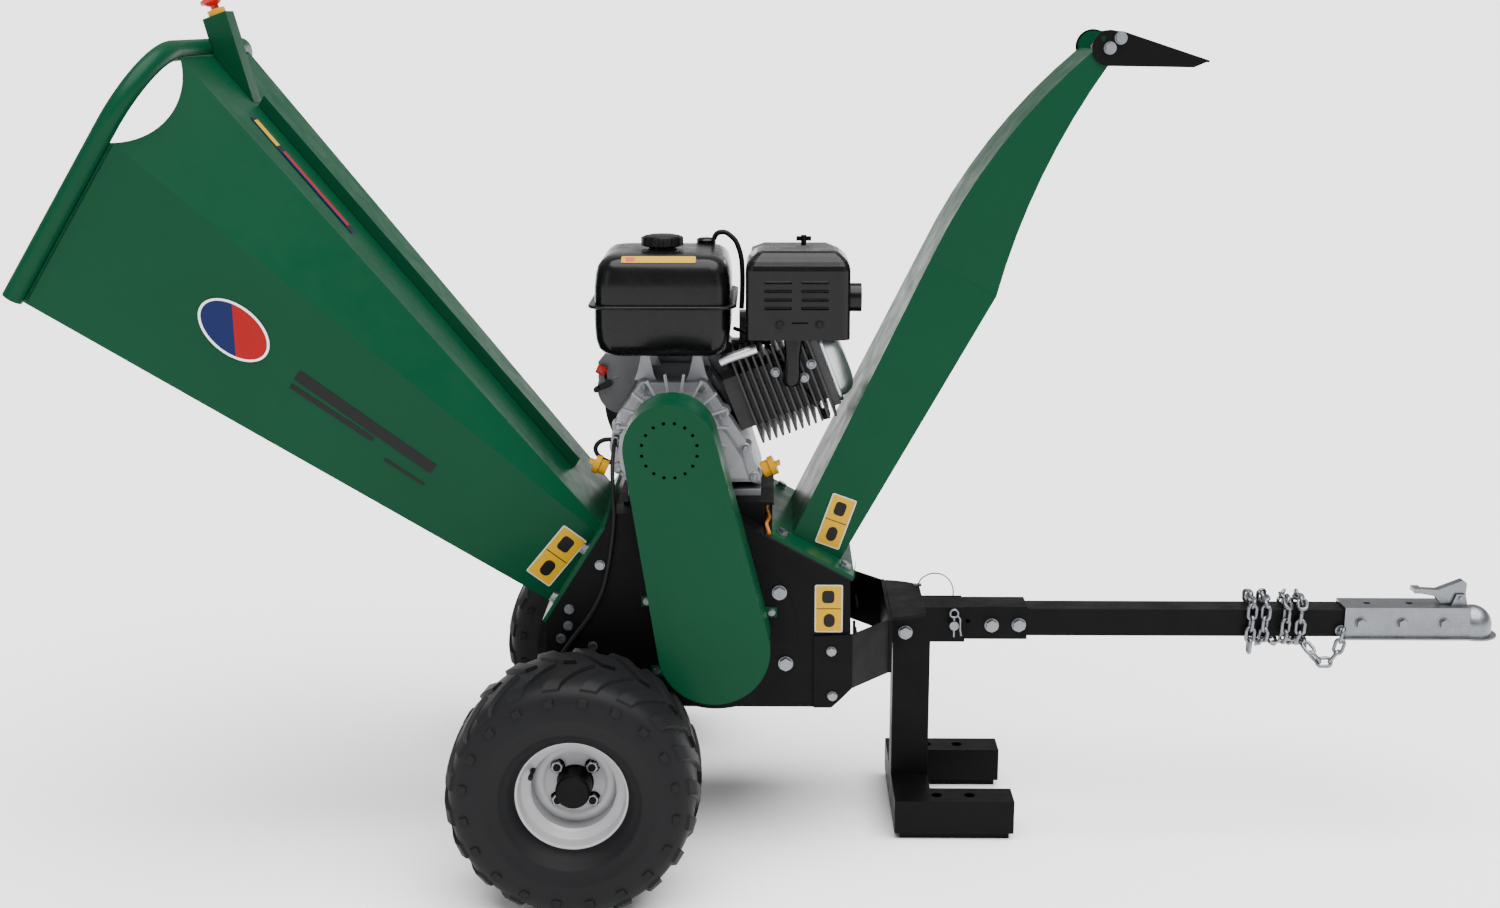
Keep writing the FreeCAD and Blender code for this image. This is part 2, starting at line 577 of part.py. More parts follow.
def taper(start, end, half_start, half_end, reach):
    """A wedge that narrows in Y along a line in the X-Z plane."""
    along = V(end[0] - start[0], 0, end[1] - start[1])
    length = along.Length
    along.normalize()
    across = V(-along.z, 0, along.x)
    slope = (half_end - half_start) / length
    spare = 60.0
    first, last = V(start[0], 0, start[1]) - along * spare, V(end[0], 0, end[1]) + along * spare
    y0, y1 = half_start - slope * spare, half_end + slope * spare
    corners = [first + V(0, -y0, 0), last + V(0, -y1, 0), last + V(0, y1, 0), first + V(0, y0, 0)]
    corners = [c - across * reach for c in corners]
    return Part.Face(Part.makePolygon(corners + corners[:1])).extrude(across * (2 * reach))


def chute_shell():
    """Square duct up to the kink, then an open hood of two cheeks and a curved back."""
    (bl, br), (kl, kr), (tl, tr) = CHUTE_BASE, CHUTE_KINK, CHUTE_TIP
    w0, w1, w2 = CHUTE_HALF
    outline = [bl, kl, kr, br]
    inside = ((kl[0] + br[0]) / 2, (kl[1] + br[1]) / 2)
    hollow = [inset_corner(outline[i - 1], outline[i], outline[(i + 1) % 4], SHEET, inside)
              for i in range(4)]
    hollow[0] = extend(hollow[1], hollow[0], 60)
    hollow[3] = extend(hollow[2], hollow[3], 60)
    hollow[1] = extend(hollow[0], hollow[1], 60)
    hollow[2] = extend(hollow[3], hollow[2], 60)
    wedge = taper(bl, kl, w0, w1, 400)
    duct = slab(outline, -200, 200).common(wedge)
    duct = duct.cut(slab(hollow, -200, 200).common(taper(bl, kl, w0 - SHEET, w1 - SHEET, 390)))
    back = arc_points(kl, tl, math.radians(25), 8)
    front = arc_points(kr, tr, math.radians(20.7), 8)
    inner_back = offset_line(back, SHEET)
    inner_back = [extend(inner_back[1], inner_back[0], 40)] + inner_back[1:-1] + [
        extend(inner_back[-2], inner_back[-1], 40)]
    beyond = offset_line(front, 60)
    beyond = [extend(beyond[1], beyond[0], 40)] + beyond[1:-1] + [extend(beyond[-2], beyond[-1], 40)]
    hood = slab(back + front[::-1], -200, 200).common(taper(kl, tl, w1, w2, 400))
    room = slab(inner_back + beyond[::-1], -200, 200).common(taper(kl, tl, w1 - SHEET, w2 - SHEET, 390))
    lobes = [cross_rod(HINGE[0], HINGE[1], y0, y0 + SHEET, 26.0) for y0 in (-w2, w2 - SHEET)]
    shell = fuse([duct, hood.cut(room)] + lobes)
    return drill(shell, [HINGE], -120, 120, 5.0 + RUNNING)


def extend(start, end, reach):
    length = math.hypot(end[0] - start[0], end[1] - start[1])
    share = (length + reach) / length
    return start[0] + (end[0] - start[0]) * share, start[1] + (end[1] - start[1]) * share


def offset_line(points, depth):
    """The same open line moved to its right by depth."""
    moved = []
    for i, (x, z) in enumerate(points):
        x0, z0 = points[max(i - 1, 0)]
        x1, z1 = points[min(i + 1, len(points) - 1)]
        length = math.hypot(x1 - x0, z1 - z0)
        moved.append((x + depth * (z1 - z0) / length, z - depth * (x1 - x0) / length))
    return moved


DEFLECTOR_GAP = 1.6
DEFLECTOR_R, DEFLECTOR_TIP, DEFLECTOR_HEEL = 29.0, (1028.0, 1339.0), (1002.0, 1328.0)
LOCK_BOLT = (881.0, 1375.0)


def deflector():
    """Swinging hood end: two cheeks outside the chute's and a top plate that joins them."""
    inner, outer = CHUTE_HALF[2] + DEFLECTOR_GAP, CHUTE_HALF[2] + DEFLECTOR_GAP + 3.0
    hx, hz = HINGE
    crest = (hx + 20.0, hz + DEFLECTOR_R - 2.0)
    outline = [(hx + 2, hz - DEFLECTOR_R + 0.2), DEFLECTOR_HEEL, DEFLECTOR_TIP, crest]
    roof = slab([crest, DEFLECTOR_TIP, (DEFLECTOR_TIP[0] - 1.2, DEFLECTOR_TIP[1] - 3.2),
                 (crest[0], crest[1] - 3.2)],
                -inner, inner)
    pieces = [roof]
    for y0 in (-outer, inner):
        cheek = fuse([slab(outline, y0, y0 + 3.0), cross_rod(hx, hz, y0, y0 + 3.0, DEFLECTOR_R)])
        pieces.append(cheek)
    shape = drill(fuse(pieces), [HINGE, LOCK_BOLT], -120, 120, 5.05)
    return drill(shape, [(hx - 10, hz + 15)], -120, 120, 5.0)


def deflector_bolts():
    """Pivot bolts that stay with the chute."""
    face = CHUTE_HALF[2] + DEFLECTOR_GAP + 3.3
    return [bolt((HINGE[0], side * face, HINGE[1]), (0, side, 0), 10, 11.0) for side in (-1, 1)]


def deflector_studs():
    """Friction bolts in the deflector's own cheeks."""
    face = CHUTE_HALF[2] + DEFLECTOR_GAP + 3.0
    return Part.makeCompound([bolt((LOCK_BOLT[0], side * face, LOCK_BOLT[1]), (0, side, 0), 10, 3.0)
                              for side in (-1, 1)])


# ---- tow bar and stand --------------------------------------------------------------------------
HITCH_BOLTS = [(554.0, 345.0, 36.0), (707.0, 356.6, 30.0), (755.0, 357.6, 30.0)]
PIN_X, PIN_Z, PIN_R = 638.5, 362.0, 8.0


def drawbar_arms():
    """Two bent plates from the side plates in to the hitch head."""
    arms = []
    for side in (-1, 1):
        outer, face = SIDE_Y + 6, SIDE_Y
        bend_x = 453.0
        flat = [(388, 392), (bend_x, 395), (bend_x, 300), (431, 277), (418, 265), (388, 265)]
        plate = slab(flat, min(side * outer, side * face), max(side * outer, side * face))
        bend = [(bend_x, side * outer), (HEAD_X0, side * 123), (HEAD_X0, side * 115), (bend_x, side * face)]
        arm = fuse([plate, plan(bend, 300, 395)])
        arms.append(drill(arm, ARM_BOLTS, min(0, side * 210), max(0, side * 210), 4.2))
    return Part.makeCompound(arms)


def hitch_head():
    """Cross plate between the arms, the curved top plate and the two cheeks that hold the sleeve."""
    cross = block(HEAD_X0, HEAD_X1, -123, 123, 300, 395)
    half = SLEEVE / 2
    edge = [(HEAD_X1, 112), (545, 108), (566, 99), (586, 84)]
    top = plan([(x, -y) for x, y in edge] + edge[::-1], 391, 397)
    cheeks = [block(HEAD_X1, CHEEK_X1, y, y + 6, 327, 391) for y in (-half - 6, half)]
    shape = fuse([cross, top] + cheeks)
    return drill(shape, [(PIN_X, PIN_Z)], -60, 60, PIN_R + 0.3)


def drawbar_sleeve():
    half = SLEEVE / 2
    outer = block(HEAD_X1, SLEEVE_X1, -half, half, BAR_Z - half, BAR_Z + half)
    inner = block(HEAD_X1 - 1, SLEEVE_X1 + 1, -half + 4, half - 4, BAR_Z - half + 4, BAR_Z + half - 4)
    shape = drill(outer.cut(inner), [(PIN_X, PIN_Z)], -60, 60, PIN_R + 0.3)
    return drill(shape, [(665.0, 364.0)], -60, 0, 4.0)


def drawbar_tube():
    half = BAR / 2
    outer = block(BAR_X0, BAR_X1, -half, half, BAR_Z - half, BAR_Z + half)
    inner = block(BAR_X0 - 1, BAR_X1 + 1, -half + 3, half - 3, BAR_Z - half + 3, BAR_Z + half - 3)
    return outer.cut(inner)


def hitch_pin():
    """Cross pin with a flat head on the far side and a hole for the clip on the near side."""
    body = cross_rod(PIN_X, PIN_Z, -54, 36.2, PIN_R)
    head = cross_rod(PIN_X, PIN_Z, 36.2, 42, 13.0)
    return fuse([body, head]).cut(rod((PIN_X, -47, PIN_Z - 20), (PIN_X, -47, PIN_Z + 20), 2.3))


def r_clip():
    """Spring clip: a straight leg through the pin, a round eye and a bowed leg."""
    y, wire = -47.0, 2.0
    leg = rod((PIN_X, y, PIN_Z - 22), (PIN_X, y, PIN_Z + 14), wire)
    eye_z = PIN_Z + 21.0
    eye = Part.makeTorus(7.0, wire, V(PIN_X, y, eye_z), V(0, 1, 0))
    bow = route_tube([(PIN_X + 6.2, y, eye_z - 4.0), (PIN_X + 10.8, y, PIN_Z + 12),
                      (PIN_X + 10.8, y, PIN_Z - 8),
                      (PIN_X + 13.0, y, PIN_Z - 20)], wire)
    return fuse([leg, eye, bow])


LANYARD = [(584.0, 76.0, 400.0), (590.0, 77.0, 411.0), (607.0, 76.0, 421.0), (627.0, 70.0, 421.0),
           (641.0, 62.0, 411.0), (647.0, 55.0, 395.0), (644.0, 50.0, 378.0), (639.5, 46.5, 364.0)]


def lanyard():
    """Wire from the hitch head's corner round to the pin's head."""
    wire = route_tube(LANYARD, 1.2)
    tab = block(576, 590, 70, 82, 397, 399.4)
    eye = cross_rod(PIN_X, PIN_Z, 42, 46.0, 5.0)
    return Part.makeCompound([wire, tab, eye])


def coupler_body():
    """Pressed 2 inch ball coupler on the end of the bar."""
    side, low, high = 30.0, BAR_Z - 27.0, BAR_Z + 30.0
    channel = block(1331, 1552, -side, side, low, high)
    hollow = block(1330, 1536, -side + 4, side - 4, low - 1, high - 4)
    flange = [block(1331, 1552, -side - 9, -side, low, low + 3),
              block(1331, 1552, side, side + 9, low, low + 3)]
    ball = V(BALL_X, 0, low + 20.0)
    dome = Part.makeSphere(BALL_R + 8.5, ball)
    skirt = Part.makeCylinder(BALL_R + 8.5, 20.0, V(BALL_X, 0, low))
    brim = Part.makeCylinder(NOSE_X - BALL_X, 3.0, V(BALL_X, 0, low))
    socket_mouth = Part.makeCylinder(BALL_R + 0.6, 25.0, V(BALL_X, 0, low - 5))
    socket = Part.makeSphere(BALL_R + 0.6, ball).fuse(socket_mouth)
    body = fuse([channel.cut(hollow), dome, skirt, brim] + flange).cut(socket)
    body = body.cut(block(1300, 1700, -60, 60, low - 60, low))
    holes = [rod((x, 0, high - 10), (x, 0, high + 5), 6.0) for x in (1377.0, 1452.0)]
    bolts = [bolt((x, s * side, BAR_Z + 1.5), (0, s, 0), 10) for x in (1360.0, 1434.0, 1507.0)
             for s in (-1, 1)]
    return Part.makeCompound([body.cut(Part.makeCompound(holes))] + bolts)


LATCH_X, LATCH_Z = 1538.0, 404.0


def latch_post():
    """Two ears on the coupler that hold the latch's pin."""
    ears = [slab([(1522, 390.6), (1551, 390.6), (1546, 411), (1530, 411)], y, y + 3) for y in (-15.0, 12.0)]
    return Part.makeCompound([drill(ear, [(LATCH_X, LATCH_Z)], -20, 20, 4.05) for ear in ears])


def coupler_latch():
    """Lever with its pin, cam and thumb plate."""
    pin = cross_rod(LATCH_X, LATCH_Z, -18, 18, 4.0)
    arm = slab([(1462, 412), (1462, 419), (1498, 417), (1542, 435), (1549, 430), (1548, 400), (1528, 393),
                (1504, 393), (1494, 406)], -9, 9)
    pad = block(1456, 1470, -14, 14, 412, 420)
    return fuse([arm, pin, pad])


CHAIN_X = [1168.0, 1192.0, 1229.0, 1256.0]


def safety_chain():
    """Outer shape of the chain: four turns round the bar and the hanging tail to its bolt."""
    inner, outer = BAR / 2 + 1.0, BAR / 2 + 15.0
    pieces = []
    for i, x in enumerate(CHAIN_X):
        lean = 9.0 if i % 2 else -9.0
        ring = []
        for reach in (outer, inner):
            corners = [V(x + lean * z / outer - 6.5, y, BAR_Z + z) for y, z in
                       ((-reach, -reach), (reach, -reach), (reach, reach), (-reach, reach))]
            face = Part.Face(Part.makePolygon(corners + corners[:1]))
            ring.append(face.extrude(V(13.0, 0, 0)))
        pieces.append(ring[0].cut(ring[1]))
    low = BAR_Z - BAR / 2 - 16
    tail = route_tube([(1266, -33, low + 2), (1284, -34, low - 12), (1304, -35, low - 10),
                       (1316, -37, low + 6),
                       (1323, -38, low + 24)], 6.0)
    return Part.makeCompound(pieces + [tail])


def stand_leg():
    """Square leg under the hitch head and its fork-shaped foot with the pads it stands on."""
    half = SLEEVE / 2
    wall = 4.0
    top = BAR_Z - half
    leg = block(LEG_X0, LEG_X1, -half, half, FOOT_TOP, top)
    leg = leg.cut(block(LEG_X0 + wall, LEG_X1 - wall, -half + wall, half - wall, FOOT_TOP + 4, top - 4))
    inner = FOOT_HALF - FOOT_SECTION
    cross = block(LEG_X0, LEG_X1, -inner, inner, PAD_H, FOOT_TOP)
    cross = cross.cut(block(LEG_X0 + wall, LEG_X1 - wall, -inner - 1, inner + 1, PAD_H + wall,
                            FOOT_TOP - wall))
    pieces = [leg, cross]
    for side in (-1, 1):
        y0, y1 = sorted((side * inner, side * FOOT_HALF))
        beam = block(LEG_X0, FOOT_X1, y0, y1, PAD_H, FOOT_TOP)
        beam = beam.cut(block(LEG_X0 + wall, FOOT_X1 - wall, y0 + wall, y1 - wall, PAD_H + wall,
                              FOOT_TOP - wall))
        for x in FOOT_HOLES:
            beam = beam.cut(rod((x, (y0 + y1) / 2, FOOT_TOP - 10), (x, (y0 + y1) / 2, FOOT_TOP + 5),
                                FOOT_HOLE_R))
        pieces += [beam, block(LEG_X0 + 10, FOOT_X1 - 7, y0 + 8, y1 - 8, 0, PAD_H)]
    return fuse(pieces)


FOOT_HOLES, FOOT_HOLE_R = (608.0, 666.0), 9.5


# ---- drive --------------------------------------------------------------------------------------
def belt_guard():
    """Deep tray over both pulleys, vented over the upper one and held by three ears."""
    outer = loop_slab(GUARD_TOP_R, GUARD_LOW_R, -GUARD_Y, -SIDE_Y - 2.2)
    inner = loop_slab(GUARD_TOP_R - GUARD_WALL, GUARD_LOW_R - GUARD_WALL, -GUARD_Y + GUARD_WALL, -SIDE_Y)
    tray = outer.cut(inner)
    vents = []
    for i in range(16):
        angle = math.radians(22.5 * (i + 0.5))
        vents.append((CRANK_X + 45 * math.cos(angle), CRANK_Z + 45 * math.sin(angle)))
    tray = drill(tray, vents, -GUARD_Y - 5, -GUARD_Y + 5, 2.8)
    ears = []
    for x, z in GUARD_EARS:
        toward = 1 if x < 200 else -1
        base = x + toward * 34
        ear = block(min(x - toward * 9, base), max(x - toward * 9, base), -SIDE_Y - 4.5, -SIDE_Y - 2.2,
                    z - 9, z + 9)
        ears.append(ear.cut(loop_slab(GUARD_TOP_R - 1, GUARD_LOW_R - 1, -GUARD_Y, -SIDE_Y)))
    return drill(fuse([tray] + ears), GUARD_EARS, -SIDE_Y - 20, -SIDE_Y + 5, 3.2)


def pulley(x, z, radius, bore, y1):
    """Two-groove pulley with a hub."""
    profile = [(bore, PULLEY_Y0), (radius, PULLEY_Y0)]
    for y in belt_places():
        profile += [(radius, y - 7.0), (radius - GROOVE, y - 6.5), (radius - GROOVE, y + 6.5),
                    (radius, y + 7.0)]
    profile += [(radius, PULLEY_Y1), (bore + 12, PULLEY_Y1), (bore + 12, y1), (bore, y1)]
    return turned(profile, x, z)


def belt_places():
    middle = (PULLEY_Y0 + PULLEY_Y1) / 2
    return [middle - BELT_PITCH / 2, middle + BELT_PITCH / 2]


def drive_belts():
    """Pair of V-belts."""
    belts = []
    for y in belt_places():
        outer = loop_slab(DRIVE_R - 0.5, DRIVEN_R - 0.5, y - 6.0, y + 6.0)
        inner = loop_slab(DRIVE_R - GROOVE + 0.5, DRIVEN_R - GROOVE + 0.5, y - 7.0, y + 7.0)
        belts.append(outer.cut(inner))
    return Part.makeCompound(belts)


def rotor_shaft():
    """Main shaft, with the nut that keeps the driven pulley on."""
    shaft = cross_rod(ROTOR_X, ROTOR_Z, PULLEY_Y0 - 2, SIDE_Y + 34, SHAFT_R)
    return fuse([shaft, hexagon((ROTOR_X, PULLEY_Y0 - 2, ROTOR_Z), (0, -1, 0), 34.0, 9.0)])


def rotor_drum():
    """Drum with two end discs, seats for the knives and the bore for the shaft."""
    profile = [(SHAFT_R, -170.0), (112.0, -170.0), (112.0, -160.0), (96.0, -160.0), (96.0, 160.0),
               (112.0, 160.0),
               (112.0, 170.0), (SHAFT_R, 170.0)]
    drum = turned(profile, ROTOR_X, ROTOR_Z)
    bore = pipe((ROTOR_X, -158, ROTOR_Z), (ROTOR_X, 158, ROTOR_Z), 84.0, SHAFT_R + 12)
    return drum.cut(bore).cut(Part.makeCompound([knife_seat(i) for i in range(2)]))


def knife_block(i, y_half, grow):
    """The box of one knife, set tangent to the drum at half a turn from the other."""
    box = Part.makeBox(18.0 + 2 * grow, 2 * y_half, 48.0 + 2 * grow, V(90.0 - grow, -y_half, -6.0 - grow))
    box.rotate(V(0, 0, 0), V(0, 1, 0), 180.0 * i + 20.0)
    box.translate(V(ROTOR_X, 0, ROTOR_Z))
    return box


def knife_seat(i):
    return knife_block(i, 159.0, 0.0)


def rotor_knives():
    """Two knives with their screws, each ground to an edge at the rotor's full radius."""
    knives = []
    for i in range(2):
        blade = knife_block(i, 158.5, -0.2)
        ridge = Part.makeBox(14.0, 317.0, 8.0, V(107.8, -158.5, 30.0))
        ridge.rotate(V(0, 0, 0), V(0, 1, 0), 180.0 * i + 20.0)
        ridge.translate(V(ROTOR_X, 0, ROTOR_Z))
        knives.append(fuse([blade, ridge]))
    return Part.makeCompound(knives)


# ---- engine -------------------------------------------------------------------------------------
BASE_Z = DECK_Z + 5.0
CASE = [(70, BASE_Z), (298, BASE_Z), (298, 632), (280, 690), (240, 752), (206, 804), (92, 804), (45, 727),
        (40, 690), (46, 655), (72, 628)]
SLANT, BORE_DROP = math.radians(21.0), 14.0
COVER_FACE = -88.0


def along_bore(s, up):
    """A point in X-Z given along the cylinder's axis from the crankshaft, and square to it."""
    up -= BORE_DROP
    return (CRANK_X + s * math.cos(SLANT) - up * math.sin(SLANT),
            CRANK_Z + s * math.sin(SLANT) + up * math.cos(SLANT))


def crankcase():
    """Cast case with its feet, open inside for the crank."""
    case = slab(CASE, -60, 104)
    room = slab(inset_outline(CASE, 9.0), -61, 94)
    case = case.cut(room)
    feet = [block(x, x + 34, y, y + 30, BASE_Z, BASE_Z + 12) for x in (70, 264) for y in (-92.0, 106.0)]
    lugs = fuse([case] + feet[1::2])
    deck_side = block(70, 298, -92, -60, BASE_Z, BASE_Z + 12)
    shape = fuse([lugs, deck_side])
    shape = drill(shape, [(CRANK_X, CRANK_Z)], -200, 200, 30.0)
    spigot = slab([along_bore(60, -48), along_bore(60, 48), along_bore(124, 48), along_bore(124, -48)], -48,
                  48)
    return shape.cut(spigot)


def inset_outline(outline, depth):
    centre = (sum(p[0] for p in outline) / len(outline), sum(p[1] for p in outline) / len(outline))
    return [inset_corner(outline[i - 1], outline[i], outline[(i + 1) % len(outline)], depth, centre)
            for i in range(len(outline))]


def crankcase_cover():
    """Side cover with its ribbed rim, bearing boss and cover bolts."""
    rim_outline = CASE[2:]
    cover = slab(rim_outline, COVER_FACE, -60.1)
    raised = slab(inset_outline(rim_outline, 16.0), -128, COVER_FACE)
    boss = cross_rod(CRANK_X, CRANK_Z, -146, -128, 38.0)
    shape = fuse([cover, raised, boss])
    shape = shape.cut(slab(inset_outline(rim_outline, 24.0), -118, -60))
    shape = drill(shape, [(CRANK_X, CRANK_Z)], -200, 0, 17.0)
    rim = inset_outline(rim_outline, 8.0)
    bolts = [bolt((x, COVER_FACE, z), (0, -1, 0), 8) for x, z in rim]
    return Part.makeCompound([shape] + bolts)


def crankshaft():
    """Crankshaft with its webs, big-end pin and power take-off end."""
    journal = cross_rod(CRANK_X, CRANK_Z, PULLEY_Y0 + 2, -40, 12.7)
    shoulder = cross_rod(CRANK_X, CRANK_Z, -138, -40, 16.9)
    tail = cross_rod(CRANK_X, CRANK_Z, 20, 178, 16.9)
    webs = [cross_rod(CRANK_X, CRANK_Z, y, y + 18, 42.0) for y in (-40, 4)]
    throw = cross_rod(CRANK_X + 26, CRANK_Z, -40, 20, 15.0)
    return fuse([journal, shoulder, tail, throw] + webs)


def flywheel():
    """Fan flywheel on the crankshaft's far end."""
    disc = turned([(17.0, 126.0), (104.0, 126.0), (104.0, 150.0), (40.0, 150.0), (40.0, 164.0),
                   (17.0, 164.0)],
                  CRANK_X, CRANK_Z)
    blades = []
    for i in range(12):
        blade = block(CRANK_X + 58, CRANK_X + 100, -2 + 150, 22 + 150, CRANK_Z - 1.5, CRANK_Z + 1.5)
        blade.rotate(V(CRANK_X, 0, CRANK_Z), V(0, 1, 0), 30.0 * i)
        blades.append(blade)
    return fuse([disc] + blades)


def recoil_cover():
    """Round fan housing with its starter dome and the slots it breathes through."""
    profile = [(58.0, 232.0), (70.0, 228.0), (76.0, 206.0), (124.0, 200.0), (136.0, 190.0), (138.0, 112.0),
               (134.0, 112.0), (132.0, 188.0), (122.0, 196.0), (73.0, 202.0), (67.0, 224.0), (56.0, 228.0),
               (0.01, 228.0), (0.01, 232.0)]
    cover = turned(profile, CRANK_X, CRANK_Z)
    slots = []
    for i in range(18):
        slot = block(CRANK_X + 84, CRANK_X + 116, 150, 240, CRANK_Z - 3.5, CRANK_Z + 3.5)
        slot.rotate(V(CRANK_X, 0, CRANK_Z), V(0, 1, 0), 20.0 * i)
        slots.append(slot)
    cover = cover.cut(Part.makeCompound(slots))
    back = turned([(110.0, 106.0), (138.0, 106.0), (138.0, 111.9), (110.0, 111.9)], CRANK_X, CRANK_Z)
    cover = fuse([cover, back])
    keep = slab([(CRANK_X - 140, BASE_Z + 13), (CRANK_X + 140, BASE_Z + 13), (CRANK_X + 140, 835),
                 (CRANK_X + 60, 849), (CRANK_X - 140, 849)], 100, 240)
    return cover.common(keep)


def recoil_grip():
    """Starter handle that rests against the fan housing."""
    out, along = V(-0.752, 0, 0.659), V(0.659, 0, 0.752)
    centre = V(CRANK_X, 176, CRANK_Z) + out * 149.5
    knob = rod(tuple(centre - along * 34), tuple(centre + along * 34), 9.0)
    neck = rod(tuple(centre), tuple(centre - out * 11), 6.0)
    return fuse([knob, neck])


def cylinder():
    """Finned cylinder and head, leaning toward the chute."""
    pieces = [slab([along_bore(96, -47), along_bore(96, 47), along_bore(262, 47), along_bore(262, -47)],
                   -47, 47)]
    pitch, thick, reach = 12.0, 4.0, 76.0
    for i in range(12):
        s = 124.0 + pitch * i
        pieces.append(slab([along_bore(s, -reach), along_bore(s, reach), along_bore(s + thick, reach),
                            along_bore(s + thick, -reach)], -72, 76))
    head = slab([along_bore(260, -60), along_bore(260, 60), along_bore(274, 60), along_bore(274, -60)], -64,
                68)
    shape = fuse(pieces + [head])
    bore = slab([along_bore(90, -38), along_bore(90, 38), along_bore(226, 38), along_bore(226, -38)], -38,
                38)
    return shape.cut(bore)


def valve_cover():
    """Pressed cover over the valve gear."""
    base = slab([along_bore(274.1, -58), along_bore(274.1, 58), along_bore(280, 58), along_bore(280, -58)],
                -56, 60)
    dome = slab([along_bore(280, -52), along_bore(280, 52), along_bore(300, 44), along_bore(307, 32),
                 along_bore(307, -32), along_bore(300, -44)], -50, 54)
    return fuse([base, dome])


LOUVER, LOUVER_X, LOUVER_Z = 46.0, (303.0, 364.0), (936.0, 950.0, 964.5, 979.0)
OUTLET_Z = 948.0


def muffler():
    """Silencer and the louvred heat guard round it."""
    can = block(286, 428, -112, -24, 896, 1010)
    outer = slab([(272, 885), (446, 885), (446, 985), (435, 1031), (293, 1031), (272, 1005)], -136, -4)
    inner = slab([(275, 880), (443, 880), (443, 985), (433, 1028), (294, 1028), (275, 1004)], -133, -7)
    slope = [V(200, -136, 1010), V(200, -100, 1031), V(200, -136, 1031)]
    slice_off = Part.Face(Part.makePolygon(slope + slope[:1])).extrude(V(300, 0, 0))
    inside_slope = slice_off.copy()
    inside_slope.translate(V(0, 0.5, -3.5))
    guard = outer.cut(slice_off).cut(inner.cut(inside_slope))
    louvers = [block(x, x + LOUVER, -140, -130, z, z + 5) for x in LOUVER_X for z in LOUVER_Z]
    guard = guard.cut(Part.makeCompound(louvers))
    outlet = pipe((428, -70, OUTLET_Z), (466, -70, OUTLET_Z), 24.0, 19.0)
    guard = guard.cut(rod((420, -70, OUTLET_Z), (470, -70, OUTLET_Z), 24.6))
    stem = pipe((372, -68, 886), (372, -68, 896), 14.0, 10.0)
    return Part.makeCompound([fuse([can, outlet, stem]), guard])


def air_cleaner():
    """Air cleaner box with its lid, wing nut and the carburettor it feeds."""
    box = block(276, 436, 14, 150, 900, 982)
    lid = slab([(272, 982), (440, 982), (432, 1006), (412, 1014), (302, 1014), (280, 1006)], 8, 156)
    nut = fuse([rod((371, 60, 1014), (371, 60, 1038), 5.0), block(358, 384, 58, 62, 1028, 1036)])
    throat = block(258, 300, 77, 105, 850, 900)
    carburettor = block(244, 300, 77, 105, 812, 850)
    flange = block(300, 326, 77, 105, 842, 858)
    return fuse([box, lid, nut, throat, carburettor, flange])


def fuel_tank():
    """Pressed tank in two halves with a flange round the seam and a mounting strap."""
    low = tank_half(TANK_LOW, TANK_SEAM, 16.0, 0.0)
    high = tank_half(TANK_SEAM, TANK_TOP, 0.0, 18.0)
    seam = block(6, 256, -128, 140, TANK_SEAM - 3, TANK_SEAM + 3)
    shape = fuse([low, high, seam])
    shape = shape.cut(block(30, 232, -104, 116, TANK_LOW + 6, TANK_TOP - 6))
    neck = rod((CAP_X, CAP_Y, TANK_TOP - 6), (CAP_X, CAP_Y, TANK_TOP + 3), 24.0)
    shape = fuse([shape, neck]).cut(rod((CAP_X, CAP_Y, 980), (CAP_X, CAP_Y, 1060), 18.0))
    feet = [(84, 804.2), (112, 804.2), (106, 852), (90, 852)]
    legs = [slab([(x + shift, z) for x, z in feet], y, y + 6) for shift in (0, 92) for y in (-58.0, 70.0)]
    return fuse([shape] + legs)


TANK_LOW, TANK_SEAM, TANK_TOP = 850.0, 937.0, 1022.0
CAP_X, CAP_Y = 127.5, 4.0


def tank_half(z0, z1, low_slope, high_slope):
    """A block that draws in toward its bottom or top."""
    def ring(z, draw):
        x0, x1, y0, y1 = 18 + draw, 246 - draw, -118 + draw, 130 - draw
        points = [V(x0, y0, z), V(x1, y0, z), V(x1, y1, z), V(x0, y1, z)]
        return Part.makePolygon(points + points[:1])
    middle = z1 - high_slope if high_slope else z0 + low_slope
    return Part.makeLoft([ring(z0, low_slope), ring(middle, 0.0), ring(z1, high_slope)], True, True)


def fuel_cap():
    """Ribbed screw cap."""
    seat = TANK_TOP + 3.4
    cap = rod((CAP_X, CAP_Y, seat), (CAP_X, CAP_Y, seat + 19), 34.0)
    plug = rod((CAP_X, CAP_Y, seat - 12), (CAP_X, CAP_Y, seat), 17.4)
    ribs = []
    for i in range(12):
        rib = block(CAP_X + 32, CAP_X + 36.5, CAP_Y - 4, CAP_Y + 4, seat + 1, seat + 17)
        rib.rotate(V(CAP_X, CAP_Y, 0), V(0, 0, 1), 30.0 * i)
        ribs.append(rib)
    return fuse([cap, plug] + ribs)


def control_plate():
    """Rounded bracket at the case's left shoulder that carries the ignition switch and the throttle."""
    tab = slab([(8, 780), (8, 812), (26, 834), (96, 834), (90, 764)], 64, 70)
    plate = fuse([cross_rod(52, 764, 64, 70, 46.0), tab])
    return drill(plate.cut(slab(CASE, 60, 75)), [(27, 774)], 60, 75, 3.0)


def engine_switch():
    """Red ignition switch lever."""
    knob = rod((16, 54, 800), (16, 63.7, 800), 7.0)
    grip = block(6, 25, 42, 54, 790, 811)
    return fuse([knob, grip])


def throttle_lever():
    """Throttle lever on the control plate."""
    arm = slab([(28, 768), (26, 780), (4, 768), (6, 760)], 57, 60)
    return fuse([cross_rod(27, 774, 57, 63.7, 6.0), arm, cross_rod(5, 764, 50, 64, 5.0)])


